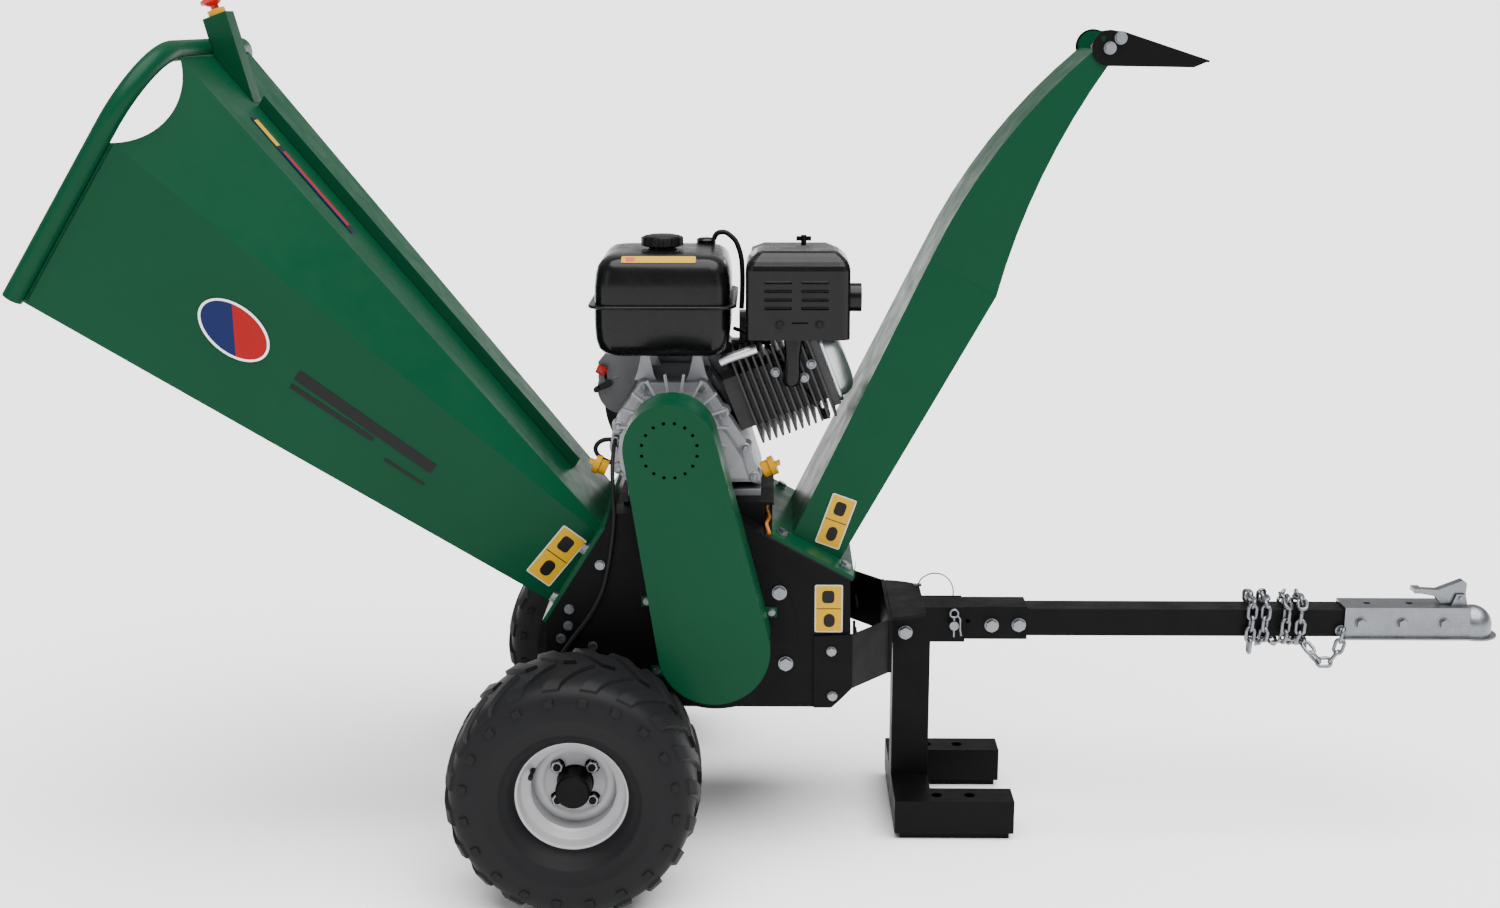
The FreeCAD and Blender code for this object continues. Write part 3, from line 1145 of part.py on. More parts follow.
def oil_caps():
    """Filler plugs at both sides of the sump, each on a short neck."""
    pieces = []
    for x, lean, z in ((36.0, -1, 652.0), (298.0, 1, 650.0)):
        start = V(x + lean * 2.5, -76.0, z)
        axis = V(lean * math.cos(math.radians(25)), 0, math.sin(math.radians(25)))
        neck = Part.makeCylinder(14.0, 14.0, start, axis)
        cap = Part.makeCylinder(17.0, 10.0, start + axis * 14.0, axis)
        wing = Part.makeBox(10.0, 26.0, 5.0, V(0, -13.0, -2.5))
        wing.rotate(V(0, 0, 0), V(0, 1, 0), -25.0 if lean > 0 else -155.0)
        wing.translate(start + axis * 23.0)
        pieces.append(fuse([neck, cap, wing]))
    return Part.makeCompound(pieces)


# ---- cables -------------------------------------------------------------------------------------
STOP_CABLE = [(-44.0, -201.0, 350.0), (-22.0, -203.0, 384.0), (10.0, -203.0, 425.0), (34.0, -203.0, 470.0),
              (45.0, -203.0, 517.0), (52.0, -203.0, 564.0), (56.0, -203.0, 603.0), (53.0, -197.0, 643.0),
              (50.0, -174.0, 675.0), (49.5, -140.0, 697.0), (50.0, -104.0, 707.5)]
FUEL_HOSE = [(212.0, 96.0, 1024.0), (218.0, 95.0, 1038.0), (234.0, 93.0, 1040.0), (252.0, 90.0, 1026.0),
             (262.0, 88.0, 998.0), (264.0, 86.0, 965.0), (263.5, 84.0, 932.0), (262.0, 82.0, 905.0)]


def stop_cable():
    return route_tube(STOP_CABLE, 3.5)


def cable_clips():
    """Clip at the cable's lower end and the gland on the crankcase at its upper end."""
    x, y, z = STOP_CABLE[0]
    lower = block(x - 9, x + 5, -SIDE_Y - 9, -SIDE_Y, z - 14, z - 2.2)
    x, y, z = STOP_CABLE[-1]
    return [lower, rod((x, y + 1.2, z), (x, COVER_FACE - 0.1, z), 6.0)]


def fuel_hose():
    return route_tube(FUEL_HOSE, 4.5)


# ---- the machine --------------------------------------------------------------------------------
def all_nodes():
    nodes = {
        "side_plate_near": side_plate(-1), "side_plate_far": side_plate(1), "rotor_shell": rotor_shell(),
        "anvil": anvil(), "rotor_bearings": rotor_bearings(), "engine_deck": engine_deck(),
        "axle_beam": axle_beam(), "housing_bolts": housing_bolts(),
        "hopper_shell": fuse([hopper_shell(), hopper_flange()]), "hopper_handle": hopper_handle(),
        "cable_duct": cable_duct(), "stop_post": stop_post(), "stop_collar": stop_collar(),
        "stop_button": stop_button(),
        "chute_gasket": chute_gasket(), "chute_shell": fuse([chute_flange(), chute_shell()]),
        "deflector": deflector(), "deflector_studs": deflector_studs(),
        "drawbar_arms": drawbar_arms(), "hitch_head": hitch_head(), "drawbar_sleeve": drawbar_sleeve(),
        "drawbar_tube": drawbar_tube(), "hitch_pin": hitch_pin(), "r_clip": r_clip(), "lanyard": lanyard(),
        "coupler_body": Part.makeCompound([coupler_body(), latch_post()]), "coupler_latch": coupler_latch(),
        "safety_chain": safety_chain(), "stand_leg": stand_leg(),
        "belt_guard": belt_guard(), "drive_belts": drive_belts(),
        "drive_pulley": pulley(CRANK_X, CRANK_Z, DRIVE_R, 12.7, PULLEY_Y1 + 20),
        "driven_pulley": pulley(ROTOR_X, ROTOR_Z, DRIVEN_R, SHAFT_R, PULLEY_Y1 + 8),
        "rotor_shaft": rotor_shaft(), "rotor_drum": rotor_drum(), "rotor_knives": rotor_knives(),
        "crankcase": crankcase(), "crankcase_cover": crankcase_cover(), "crankshaft": crankshaft(),
        "flywheel": flywheel(), "recoil_cover": recoil_cover(), "recoil_grip": recoil_grip(),
        "cylinder": cylinder(), "valve_cover": valve_cover(), "muffler": muffler(),
        "air_cleaner": air_cleaner(), "fuel_tank": fuel_tank(), "fuel_cap": fuel_cap(),
        "control_plate": control_plate(), "engine_switch": engine_switch(), "throttle_lever": throttle_lever(),
        "oil_caps": oil_caps(), "stop_cable": stop_cable(), "fuel_hose": fuel_hose(),
    }
    for side, name in ((-1, "near"), (1, "far")):
        nodes["tyre_" + name] = tyre(side)
        nodes["rim_" + name] = rim(side)
        nodes["hub_" + name] = hub(side)
    return nodes


os.makedirs("parts", exist_ok=True)
box = FreeCAD.BoundBox()
for node, shape in all_nodes().items():
    shape.translate(V(-ORIGIN_X, 0, 0))
    box.add(shape.BoundBox)
    if not shape.isValid():
        print("not valid:", node)
    shape.exportStep("parts/%s.step" % node)
print("middle of the length %.2f, width %.1f to %.1f, height %.1f to %.1f, length %.1f"
      % ((box.XMin + box.XMax) / 2, box.YMin, box.YMax, box.ZMin, box.ZMax, box.XLength))
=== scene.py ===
"""Looks of a towable wood chipper: paint, metal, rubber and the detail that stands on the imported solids."""
import bpy
import bmesh
import json
import math
from mathutils import Matrix, Vector

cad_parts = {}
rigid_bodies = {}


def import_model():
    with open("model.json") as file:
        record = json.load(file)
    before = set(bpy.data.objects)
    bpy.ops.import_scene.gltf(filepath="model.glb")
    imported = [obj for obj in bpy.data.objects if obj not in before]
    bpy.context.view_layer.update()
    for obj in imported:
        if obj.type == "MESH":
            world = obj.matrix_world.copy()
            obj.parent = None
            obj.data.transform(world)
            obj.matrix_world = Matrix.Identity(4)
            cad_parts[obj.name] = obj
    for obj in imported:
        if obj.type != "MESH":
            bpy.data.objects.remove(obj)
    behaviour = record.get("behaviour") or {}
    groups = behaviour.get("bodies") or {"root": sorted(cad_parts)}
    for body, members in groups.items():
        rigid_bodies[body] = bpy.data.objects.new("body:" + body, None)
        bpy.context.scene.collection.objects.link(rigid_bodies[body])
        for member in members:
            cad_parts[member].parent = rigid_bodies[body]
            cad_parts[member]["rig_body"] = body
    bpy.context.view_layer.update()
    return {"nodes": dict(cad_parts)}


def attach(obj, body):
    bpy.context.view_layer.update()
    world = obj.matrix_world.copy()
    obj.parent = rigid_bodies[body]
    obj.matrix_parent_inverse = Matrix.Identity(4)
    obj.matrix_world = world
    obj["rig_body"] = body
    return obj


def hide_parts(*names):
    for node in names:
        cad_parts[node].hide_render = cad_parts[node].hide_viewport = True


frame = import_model()
MID = 0.3627        # the wheel axle lies this far behind the middle of the machine's length
X_AXIS, Y_AXIS, Z_AXIS = Vector((1, 0, 0)), Vector((0, 1, 0)), Vector((0, 0, 1))
TRACK, AXLE = 379, 204.5          # half the distance between the wheels, and the axle's height, in millimetres


def at(x, y, z):
    """A point given in millimetres from the wheel axle's line, as a point of the frame in metres."""
    return Vector((x / 1000 - MID, y / 1000, z / 1000))


def add_to_scene(thing):
    bpy.context.scene.collection.objects.link(thing)


def wheel_centre(side):
    return at(0, side * TRACK, AXLE)


# ---- camera, floor and light --------------------------------------------------------------------
def set_camera():
    data = bpy.data.cameras.new("camera")
    data.lens, data.sensor_width = 45.6, 36.0
    camera = bpy.data.objects.new("camera", data)
    camera.location = at(314, -3250, 1414)
    camera.rotation_euler = (math.radians(90 - 13.06), 0, math.radians(0.634))
    add_to_scene(camera)
    bpy.context.scene.camera = camera


def soft_light(name, place, target, width, height, watts):
    data = bpy.data.lights.new(name, "AREA")
    data.shape, data.size, data.size_y, data.energy = "RECTANGLE", width, height, watts
    light = bpy.data.objects.new(name, data)
    light.location = place
    light.rotation_euler = (Vector(target) - Vector(place)).to_track_quat("-Z", "Y").to_euler()
    add_to_scene(light)


FLOOR_RINGS = ((9, 0), (16, 0.06), (30, 0.5), (60, 2.4), (100, 6.5))    # radius and height in metres
FLOOR_SIDES = 48


def pale_floor():
    """A floor that is flat round the machine and rises far away, so that no horizon shows."""
    turns = [2 * math.pi * i / FLOOR_SIDES for i in range(FLOOR_SIDES)]
    points = [(radius * math.cos(turn), radius * math.sin(turn), height)
              for radius, height in FLOOR_RINGS for turn in turns]
    faces = [tuple(range(FLOOR_SIDES))]
    for j in range(len(FLOOR_RINGS) - 1):
        inner, outer = j * FLOOR_SIDES, (j + 1) * FLOOR_SIDES
        for i in range(FLOOR_SIDES):
            k = (i + 1) % FLOOR_SIDES
            faces.append((inner + i, outer + i, outer + k, inner + k))
    mesh = bpy.data.meshes.new("floor")
    mesh.from_pydata(points, [], faces)
    for face in mesh.polygons:
        face.use_smooth = True
    mesh.materials.append(floor_paint())
    floor = bpy.data.objects.new("floor", mesh)
    add_to_scene(floor)


def studio():
    world = bpy.data.worlds.new("studio")
    bpy.context.scene.world = world
    world.use_nodes = True
    sky = world.node_tree.nodes["Background"]
    sky.inputs["Color"].default_value = (1.0, 1.0, 1.0, 1)
    sky.inputs["Strength"].default_value = 0.55
    data = bpy.data.lights.new("high_soft_light", "SUN")
    data.energy, data.angle = 9.0, math.radians(70)
    high = bpy.data.objects.new("high_soft_light", data)
    high.rotation_euler = (math.radians(12), math.radians(8), 0)
    add_to_scene(high)
    soft_light("front_left", (-2.9, -3.4, 2.3), (-0.2, 0, 0.6), 1.8, 2.2, 16)
    soft_light("front_right", (2.8, -2.8, 1.6), (0.2, 0, 0.6), 1.2, 2.0, 8)
    pale_floor()


def floor_paint():
    made = bpy.data.materials.new("pale_floor")
    made.use_nodes = True
    shader = made.node_tree.nodes["Principled BSDF"]
    shader.label = "pale matt floor"
    shader.inputs["Base Color"].default_value = (0.93, 0.93, 0.93, 1)
    shader.inputs["Roughness"].default_value = 0.85
    return made


# ---- finishes -----------------------------------------------------------------------------------
def powder_coat(name, colour, faded, rough, peel, coat=0.1, shine=0.3):
    """Baked powder paint: slightly uneven tone, fine orange peel and rubbed patches."""
    made = bpy.data.materials.new(name)
    made.use_nodes = True
    nodes, links = made.node_tree.nodes, made.node_tree.links
    nodes.clear()
    place = nodes.new("ShaderNodeTexCoord")
    place.label = "place on the machine"
    thickness = nodes.new("ShaderNodeTexNoise")
    thickness.label = "uneven coat thickness"
    thickness.inputs["Scale"].default_value = 4.0
    thickness.inputs["Detail"].default_value = 4.0
    tone = nodes.new("ShaderNodeMix")
    tone.label = "full and thin coat"
    tone.data_type = "RGBA"
    tone.inputs[6].default_value = (*colour, 1)
    tone.inputs[7].default_value = (*faded, 1)
    rub = nodes.new("ShaderNodeTexNoise")
    rub.label = "hand and weather marks"
    rub.inputs["Scale"].default_value = 22.0
    rub.inputs["Detail"].default_value = 8.0
    rub.inputs["Roughness"].default_value = 0.65
    sheen = nodes.new("ShaderNodeMapRange")
    sheen.label = "gloss left by the marks"
    sheen.inputs["From Min"].default_value = 0.35
    sheen.inputs["From Max"].default_value = 0.7
    sheen.inputs["To Min"].default_value = rough
    sheen.inputs["To Max"].default_value = rough + 0.16
    skin = nodes.new("ShaderNodeTexNoise")
    skin.label = "orange peel"
    skin.inputs["Scale"].default_value = 700.0
    skin.inputs["Detail"].default_value = 2.0
    relief = nodes.new("ShaderNodeBump")
    relief.label = "orange peel height"
    relief.inputs["Strength"].default_value = peel
    relief.inputs["Distance"].default_value = 0.0004
    shader = nodes.new("ShaderNodeBsdfPrincipled")
    shader.label = "powder coat"
    shader.inputs["Specular IOR Level"].default_value = shine
    shader.inputs["Coat Weight"].default_value = coat
    shader.inputs["Coat Roughness"].default_value = 0.12
    surface = nodes.new("ShaderNodeOutputMaterial")
    surface.label = "painted steel"
    tone_frame = nodes.new("NodeFrame")
    tone_frame.label = "colour"
    gloss_frame = nodes.new("NodeFrame")
    gloss_frame.label = "gloss"
    relief_frame = nodes.new("NodeFrame")
    relief_frame.label = "relief"
    for node, group, x, y in ((place, None, -1000, 0), (thickness, tone_frame, -760, 260),
                              (tone, tone_frame, -480, 260), (rub, gloss_frame, -760, 0),
                              (sheen, gloss_frame, -480, 0), (skin, relief_frame, -760, -300),
                              (relief, relief_frame, -480, -300), (shader, None, -160, 0), (surface, None, 160, 0)):
        node.location = (x, y)
        node.parent = group
    links.new(place.outputs["Object"], thickness.inputs["Vector"])
    links.new(place.outputs["Object"], rub.inputs["Vector"])
    links.new(place.outputs["Object"], skin.inputs["Vector"])
    links.new(thickness.outputs["Fac"], tone.inputs[0])
    links.new(tone.outputs[2], shader.inputs["Base Color"])
    links.new(rub.outputs["Fac"], sheen.inputs["Value"])
    links.new(sheen.outputs["Result"], shader.inputs["Roughness"])
    links.new(skin.outputs["Fac"], relief.inputs["Height"])
    links.new(relief.outputs["Normal"], shader.inputs["Normal"])
    links.new(shader.outputs["BSDF"], surface.inputs["Surface"])
    return made


def bare_metal(name, colour, dull, rough, spread, cells, scratch):
    """Zinc plate or ground steel: mottled crystals under fine scratches."""
    made = bpy.data.materials.new(name)
    made.use_nodes = True
    nodes, links = made.node_tree.nodes, made.node_tree.links
    nodes.clear()
    place = nodes.new("ShaderNodeTexCoord")
    place.label = "place on the machine"
    spangle = nodes.new("ShaderNodeTexVoronoi")
    spangle.label = "plating crystals"
    spangle.inputs["Scale"].default_value = cells
    stain = nodes.new("ShaderNodeTexNoise")
    stain.label = "dull stain"
    stain.inputs["Scale"].default_value = 30.0
    stain.inputs["Detail"].default_value = 6.0
    tone = nodes.new("ShaderNodeMix")
    tone.label = "bright and dull metal"
    tone.data_type = "RGBA"
    tone.inputs[6].default_value = (*colour, 1)
    tone.inputs[7].default_value = (*dull, 1)
    polish = nodes.new("ShaderNodeMapRange")
    polish.label = "polish of each crystal"
    polish.inputs["To Min"].default_value = rough
    polish.inputs["To Max"].default_value = rough + spread
    stretch = nodes.new("ShaderNodeMapping")
    stretch.label = "scratch direction"
    stretch.inputs["Scale"].default_value = (60.0, 900.0, 900.0)
    lines = nodes.new("ShaderNodeTexNoise")
    lines.label = "fine scratches"
    lines.inputs["Scale"].default_value = 1.0
    lines.inputs["Detail"].default_value = 3.0
    relief = nodes.new("ShaderNodeBump")
    relief.label = "scratch depth"
    relief.inputs["Strength"].default_value = scratch
    relief.inputs["Distance"].default_value = 0.0002
    shader = nodes.new("ShaderNodeBsdfPrincipled")
    shader.label = "metal"
    shader.inputs["Metallic"].default_value = 1.0
    surface = nodes.new("ShaderNodeOutputMaterial")
    surface.label = "bare metal"
    tone_frame = nodes.new("NodeFrame")
    tone_frame.label = "colour"
    gloss_frame = nodes.new("NodeFrame")
    gloss_frame.label = "polish"
    relief_frame = nodes.new("NodeFrame")
    relief_frame.label = "scratches"
    for node, group, x, y in ((place, None, -1250, 0), (stain, tone_frame, -760, 280), (tone, tone_frame, -480, 280),
                              (spangle, gloss_frame, -760, 0), (polish, gloss_frame, -480, 0),
                              (stretch, relief_frame, -1000, -300), (lines, relief_frame, -760, -300),
                              (relief, relief_frame, -480, -300), (shader, None, -160, 0), (surface, None, 160, 0)):
        node.location = (x, y)
        node.parent = group
    links.new(place.outputs["Object"], spangle.inputs["Vector"])
    links.new(place.outputs["Object"], stain.inputs["Vector"])
    links.new(place.outputs["Object"], stretch.inputs["Vector"])
    links.new(stretch.outputs["Vector"], lines.inputs["Vector"])
    links.new(stain.outputs["Fac"], tone.inputs[0])
    links.new(tone.outputs[2], shader.inputs["Base Color"])
    links.new(spangle.outputs["Distance"], polish.inputs["Value"])
    links.new(polish.outputs["Result"], shader.inputs["Roughness"])
    links.new(lines.outputs["Fac"], relief.inputs["Height"])
    links.new(relief.outputs["Normal"], shader.inputs["Normal"])
    links.new(shader.outputs["BSDF"], surface.inputs["Surface"])
    return made


def grained(name, colour, worn, rough, grain, depth, metallic=0.0, cloud=9.0, shine=0.3):
    """Cast alloy, moulded rubber or textured plastic: a pebbled skin with dust in its tone."""
    made = bpy.data.materials.new(name)
    made.use_nodes = True
    nodes, links = made.node_tree.nodes, made.node_tree.links
    nodes.clear()
    place = nodes.new("ShaderNodeTexCoord")
    place.label = "place on the machine"
    dust = nodes.new("ShaderNodeTexNoise")
    dust.label = "dust and handling"
    dust.inputs["Scale"].default_value = cloud
    dust.inputs["Detail"].default_value = 7.0
    dust.inputs["Roughness"].default_value = 0.6
    tone = nodes.new("ShaderNodeMix")
    tone.label = "clean and dusty"
    tone.data_type = "RGBA"
    tone.inputs[6].default_value = (*colour, 1)
    tone.inputs[7].default_value = (*worn, 1)
    dryness = nodes.new("ShaderNodeMapRange")
    dryness.label = "dust dries the gloss"
    dryness.inputs["To Min"].default_value = rough - 0.07
    dryness.inputs["To Max"].default_value = rough + 0.12
    pebble = nodes.new("ShaderNodeTexNoise")
    pebble.label = "grain of the mould"
    pebble.inputs["Scale"].default_value = grain
    pebble.inputs["Detail"].default_value = 3.0
    relief = nodes.new("ShaderNodeBump")
    relief.label = "grain height"
    relief.inputs["Strength"].default_value = depth
    relief.inputs["Distance"].default_value = 0.0006
    shader = nodes.new("ShaderNodeBsdfPrincipled")
    shader.label = "moulded or cast skin"
    shader.inputs["Metallic"].default_value = metallic
    shader.inputs["Specular IOR Level"].default_value = shine
    surface = nodes.new("ShaderNodeOutputMaterial")
    surface.label = "grained surface"
    tone_frame = nodes.new("NodeFrame")
    tone_frame.label = "colour"
    gloss_frame = nodes.new("NodeFrame")
    gloss_frame.label = "gloss"
    relief_frame = nodes.new("NodeFrame")
    relief_frame.label = "grain"
    for node, group, x, y in ((place, None, -1000, 0), (dust, tone_frame, -760, 260), (tone, tone_frame, -480, 260),
                              (dryness, gloss_frame, -480, 0), (pebble, relief_frame, -760, -260),
                              (relief, relief_frame, -480, -260), (shader, None, -160, 0), (surface, None, 160, 0)):
        node.location = (x, y)
        node.parent = group
    links.new(place.outputs["Object"], dust.inputs["Vector"])
    links.new(place.outputs["Object"], pebble.inputs["Vector"])
    links.new(dust.outputs["Fac"], tone.inputs[0])
    links.new(dust.outputs["Fac"], dryness.inputs["Value"])
    links.new(tone.outputs[2], shader.inputs["Base Color"])
    links.new(dryness.outputs["Result"], shader.inputs["Roughness"])
    links.new(pebble.outputs["Fac"], relief.inputs["Height"])
    links.new(relief.outputs["Normal"], shader.inputs["Normal"])
    links.new(shader.outputs["BSDF"], surface.inputs["Surface"])
    return made


GREEN = powder_coat("green_powder_coat", (0.0002, 0.030, 0.0118), (0.0004, 0.039, 0.0158), 0.30, 0.06, 0.02, 0.07)
BLACK = powder_coat("black_powder_coat", (0.0012, 0.0012, 0.0013), (0.0026, 0.0026, 0.0026), 0.40, 0.14, 0.0, 0.07)
ENGINE_BLACK = powder_coat("engine_black_enamel", (0.0015, 0.0015, 0.0018), (0.0022, 0.0022, 0.0026), 0.20, 0.02,
                           0.08, 0.14)
SILVER = powder_coat("silver_wheel_paint", (0.34, 0.34, 0.35), (0.27, 0.27, 0.28), 0.34, 0.06, 0.2, 0.5)
ZINC = bare_metal("zinc_plate", (0.21, 0.22, 0.235), (0.12, 0.125, 0.135), 0.24, 0.24, 260.0, 0.12)
STEEL = bare_metal("ground_steel", (0.30, 0.30, 0.32), (0.20, 0.20, 0.22), 0.28, 0.15, 120.0, 0.25)
CHROME = bare_metal("bright_pressed_cover", (0.70, 0.71, 0.73), (0.58, 0.59, 0.61), 0.36, 0.10, 40.0, 0.04)
ALLOY = grained("die_cast_alloy", (0.25, 0.255, 0.27), (0.17, 0.175, 0.185), 0.42, 900.0, 0.35, 0.75, 26.0, 0.5)
FINS = grained("cylinder_fins", (0.018, 0.018, 0.020), (0.06, 0.06, 0.06), 0.46, 700.0, 0.3, 0.5, 30.0)
IRON = grained("cast_iron", (0.02, 0.02, 0.022), (0.04, 0.037, 0.034), 0.55, 500.0, 0.5, 0.6)
TYRE = grained("tyre_rubber", (0.0028, 0.0028, 0.0034), (0.0065, 0.0066, 0.0072), 0.54, 800.0, 0.35, shine=0.12)
RUBBER = grained("black_rubber", (0.0025, 0.0025, 0.003), (0.005, 0.005, 0.005), 0.50, 1200.0, 0.2, shine=0.15)
GASKET = grained("orange_gasket", (0.50, 0.15, 0.008), (0.38, 0.11, 0.008), 0.6, 900.0, 0.3)
PLASTIC = grained("black_plastic", (0.0022, 0.0022, 0.0026), (0.0045, 0.0045, 0.005), 0.38, 1500.0, 0.2, shine=0.15)
GUARD_GREY = grained("grey_plastic", (0.11, 0.115, 0.12), (0.14, 0.14, 0.15), 0.45, 1500.0, 0.2)
RED = grained("red_plastic", (0.42, 0.003, 0.003), (0.34, 0.003, 0.003), 0.28, 900.0, 0.05)
YELLOW = grained("yellow_plastic", (0.50, 0.25, 0.001), (0.42, 0.20, 0.001), 0.32, 900.0, 0.05, shine=0.15)
BADGE_BLUE = grained("dark_blue_plate", (0.001, 0.005, 0.045), (0.002, 0.007, 0.055), 0.30, 900.0, 0.03, shine=0.12)
BADGE_RED = grained("red_plate", (0.24, 0.001, 0.002), (0.20, 0.001, 0.002), 0.30, 900.0, 0.03, shine=0.12)
LABEL_WHITE = grained("white_label", (0.42, 0.42, 0.40), (0.36, 0.36, 0.34), 0.38, 900.0, 0.03)
LABEL_YELLOW = grained("yellow_label", (0.44, 0.25, 0.0008), (0.38, 0.21, 0.0008), 0.36, 900.0, 0.03, shine=0.15)
LABEL_BLACK = grained("black_label", (0.002, 0.002, 0.002), (0.004, 0.004, 0.004), 0.34, 900.0, 0.03, shine=0.15)

FINISH = {
    GREEN: "hopper_shell hopper_handle cable_duct chute_shell belt_guard stop_post",
    BLACK: "side_plate_near side_plate_far rotor_shell engine_deck axle_beam deflector drawbar_arms "
           "hitch_head drawbar_sleeve drawbar_tube stand_leg rotor_drum hub_near hub_far",
    ENGINE_BLACK: "fuel_tank air_cleaner muffler",
    SILVER: "rim_near rim_far",
    ZINC: "housing_bolts deflector_studs hitch_pin r_clip lanyard coupler_body coupler_latch safety_chain",
    CHROME: "valve_cover",
    STEEL: "anvil rotor_shaft rotor_knives crankshaft rotor_bearings",
    ALLOY: "crankcase crankcase_cover flywheel",
    GUARD_GREY: "control_plate",
    FINS: "cylinder",
    IRON: "drive_pulley driven_pulley",
    TYRE: "tyre_near tyre_far",
    RUBBER: "drive_belts stop_cable fuel_hose chute_gasket",
    PLASTIC: "recoil_cover recoil_grip fuel_cap throttle_lever",
    RED: "stop_button engine_switch",
    YELLOW: "stop_collar oil_caps",
}
for finish, names in FINISH.items():
    for name in names.split():
        for slot in frame["nodes"][name].material_slots:
            slot.material = finish

# ---- how pieces are made ------------------------------------------------------------------------
BODY_OF = {name: node["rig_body"] for name, node in frame["nodes"].items()}


def mesh_of(name, points, faces, smooth=40):
    """A mesh from points and faces, with its normals turned outward and its creases kept sharp."""
    mesh = bpy.data.meshes.new(name)
    mesh.from_pydata([tuple(p) for p in points], [], faces)
    shape = bmesh.new()
    shape.from_mesh(mesh)
    bmesh.ops.remove_doubles(shape, verts=shape.verts, dist=1e-6)
    bmesh.ops.recalc_face_normals(shape, faces=shape.faces)
    for face in shape.faces:
        face.smooth = True
    for edge in shape.edges:
        edge.smooth = edge.is_manifold and edge.calc_face_angle(0) < math.radians(smooth)
    shape.to_mesh(mesh)
    shape.free()
    return mesh


def show(name, mesh, finish=None, body="machine"):
    """A finished mesh becomes a piece that rides on a body."""
    piece = bpy.data.objects.new(name, mesh)
    add_to_scene(piece)
    if finish is not None:
        mesh.materials.clear()
        mesh.materials.append(finish)
    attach(piece, body)
    return piece


def stand_for(node, mesh, finish=None):
    """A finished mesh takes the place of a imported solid."""
    piece = show(node + "_skin", mesh, finish, BODY_OF[node])
    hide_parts(node)
    return piece


def baked(piece):
    """The plain mesh that a piece's modifiers give, with the piece itself taken away."""
    add_to_scene(piece)
    bpy.context.view_layer.update()
    result = bpy.data.meshes.new_from_object(piece.evaluated_get(bpy.context.evaluated_depsgraph_get()))
    bpy.data.objects.remove(piece)
    return result


def soften(node, width, segments=2, angle=32):
    """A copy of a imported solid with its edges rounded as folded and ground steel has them."""
    source = frame["nodes"][node]
    shape = bmesh.new()
    shape.from_mesh(source.data)
    bmesh.ops.remove_doubles(shape, verts=shape.verts, dist=2e-6)
    bmesh.ops.dissolve_limit(shape, angle_limit=math.radians(0.6), verts=shape.verts, edges=shape.edges)
    mesh = bpy.data.meshes.new(node + "_soft")
    for face in shape.faces:
        face.smooth = True
    for edge in shape.edges:
        edge.smooth = not edge.is_manifold or edge.calc_face_angle(0) < math.radians(angle)
    shape.to_mesh(mesh)
    shape.free()
    piece = bpy.data.objects.new(node + "_soft", mesh)
    round_edges = piece.modifiers.new("round_edges", "BEVEL")
    round_edges.width, round_edges.segments = width / 1000, segments
    round_edges.limit_method, round_edges.angle_limit = "ANGLE", math.radians(angle)
    round_edges.use_clamp_overlap, round_edges.harden_normals = True, True
    return stand_for(node, baked(piece), source.material_slots[0].material)


def joined(meshes, name):
    """Several meshes as one, each with its own finish kept."""
    whole = bpy.data.meshes.new(name)
    shape = bmesh.new()
    finishes = []
    for mesh in meshes:
        part = bmesh.new()
        part.from_mesh(mesh)
        for face in part.faces:
            finish = mesh.materials[face.material_index] if mesh.materials else None
            if finish not in finishes:
                finishes.append(finish)
            face.material_index = finishes.index(finish)
        held = bpy.data.meshes.new("held")
        part.to_mesh(held)
        part.free()
        shape.from_mesh(held)
        bpy.data.meshes.remove(held)
    shape.to_mesh(whole)
    shape.free()
    for finish in finishes:
        whole.materials.append(finish)
    return whole


def painted(mesh, finish):
    mesh.materials.clear()
    mesh.materials.append(finish)
    return mesh


def lathe(name, profile, centre, steps=96, axis="Y", closed=True):
    """A turned form from (radius, distance along the axis) pairs in millimetres."""
    points, faces = [], []
    count = len(profile)
    for i in range(steps):
        turn = 2 * math.pi * i / steps
        for radius, along in profile:
            across, up = radius * math.cos(turn) / 1000, radius * math.sin(turn) / 1000
            step = along / 1000
            if axis == "Y":
                points.append(centre + Vector((across, step, up)))
            elif axis == "Z":
                points.append(centre + Vector((across, up, step)))
            else:
                points.append(centre + Vector((step, across, up)))
    for i in range(steps):
        here, there = i * count, (i + 1) % steps * count
        for j in range(count if closed else count - 1):
            k = (j + 1) % count
            faces.append((here + j, here + k, there + k, there + j))
    return mesh_of(name, points, faces)


def loft(name, rings, smooth=40):
    """A skin through rings of equal length, closed with a face at both ends."""
    points, faces = [], []
    count = len(rings[0])
    for ring in rings:
        points.extend(ring)
    for i in range(len(rings) - 1):
        for j in range(count):
            k = (j + 1) % count
            faces.append((i * count + j, i * count + k, (i + 1) * count + k, (i + 1) * count + j))
    faces.append(tuple(range(count)))
    faces.append(tuple(range((len(rings) - 1) * count, len(rings) * count)))
    return mesh_of(name, points, faces, smooth)


def soft_rectangle(origin, u, v, half_u, half_v, radius, steps=5):
    """A ring round a rectangle with rounded corners, in millimetres along two directions."""
    ring = []
    for su, sv, start in ((1, 1, 0), (-1, 1, 90), (-1, -1, 180), (1, -1, 270)):
        for i in range(steps + 1):
            turn = math.radians(start + 90 * i / steps)
            a = su * (half_u - radius) + radius * math.cos(turn)
            b = sv * (half_v - radius) + radius * math.sin(turn)
            ring.append(origin + (u * a + v * b) / 1000)
    return ring


def flat_ring(x0, x1, y0, y1, z, radius, steps=5):
    return soft_rectangle(at((x0 + x1) / 2, (y0 + y1) / 2, z), X_AXIS, Y_AXIS,
                          (x1 - x0) / 2, (y1 - y0) / 2, radius, steps)


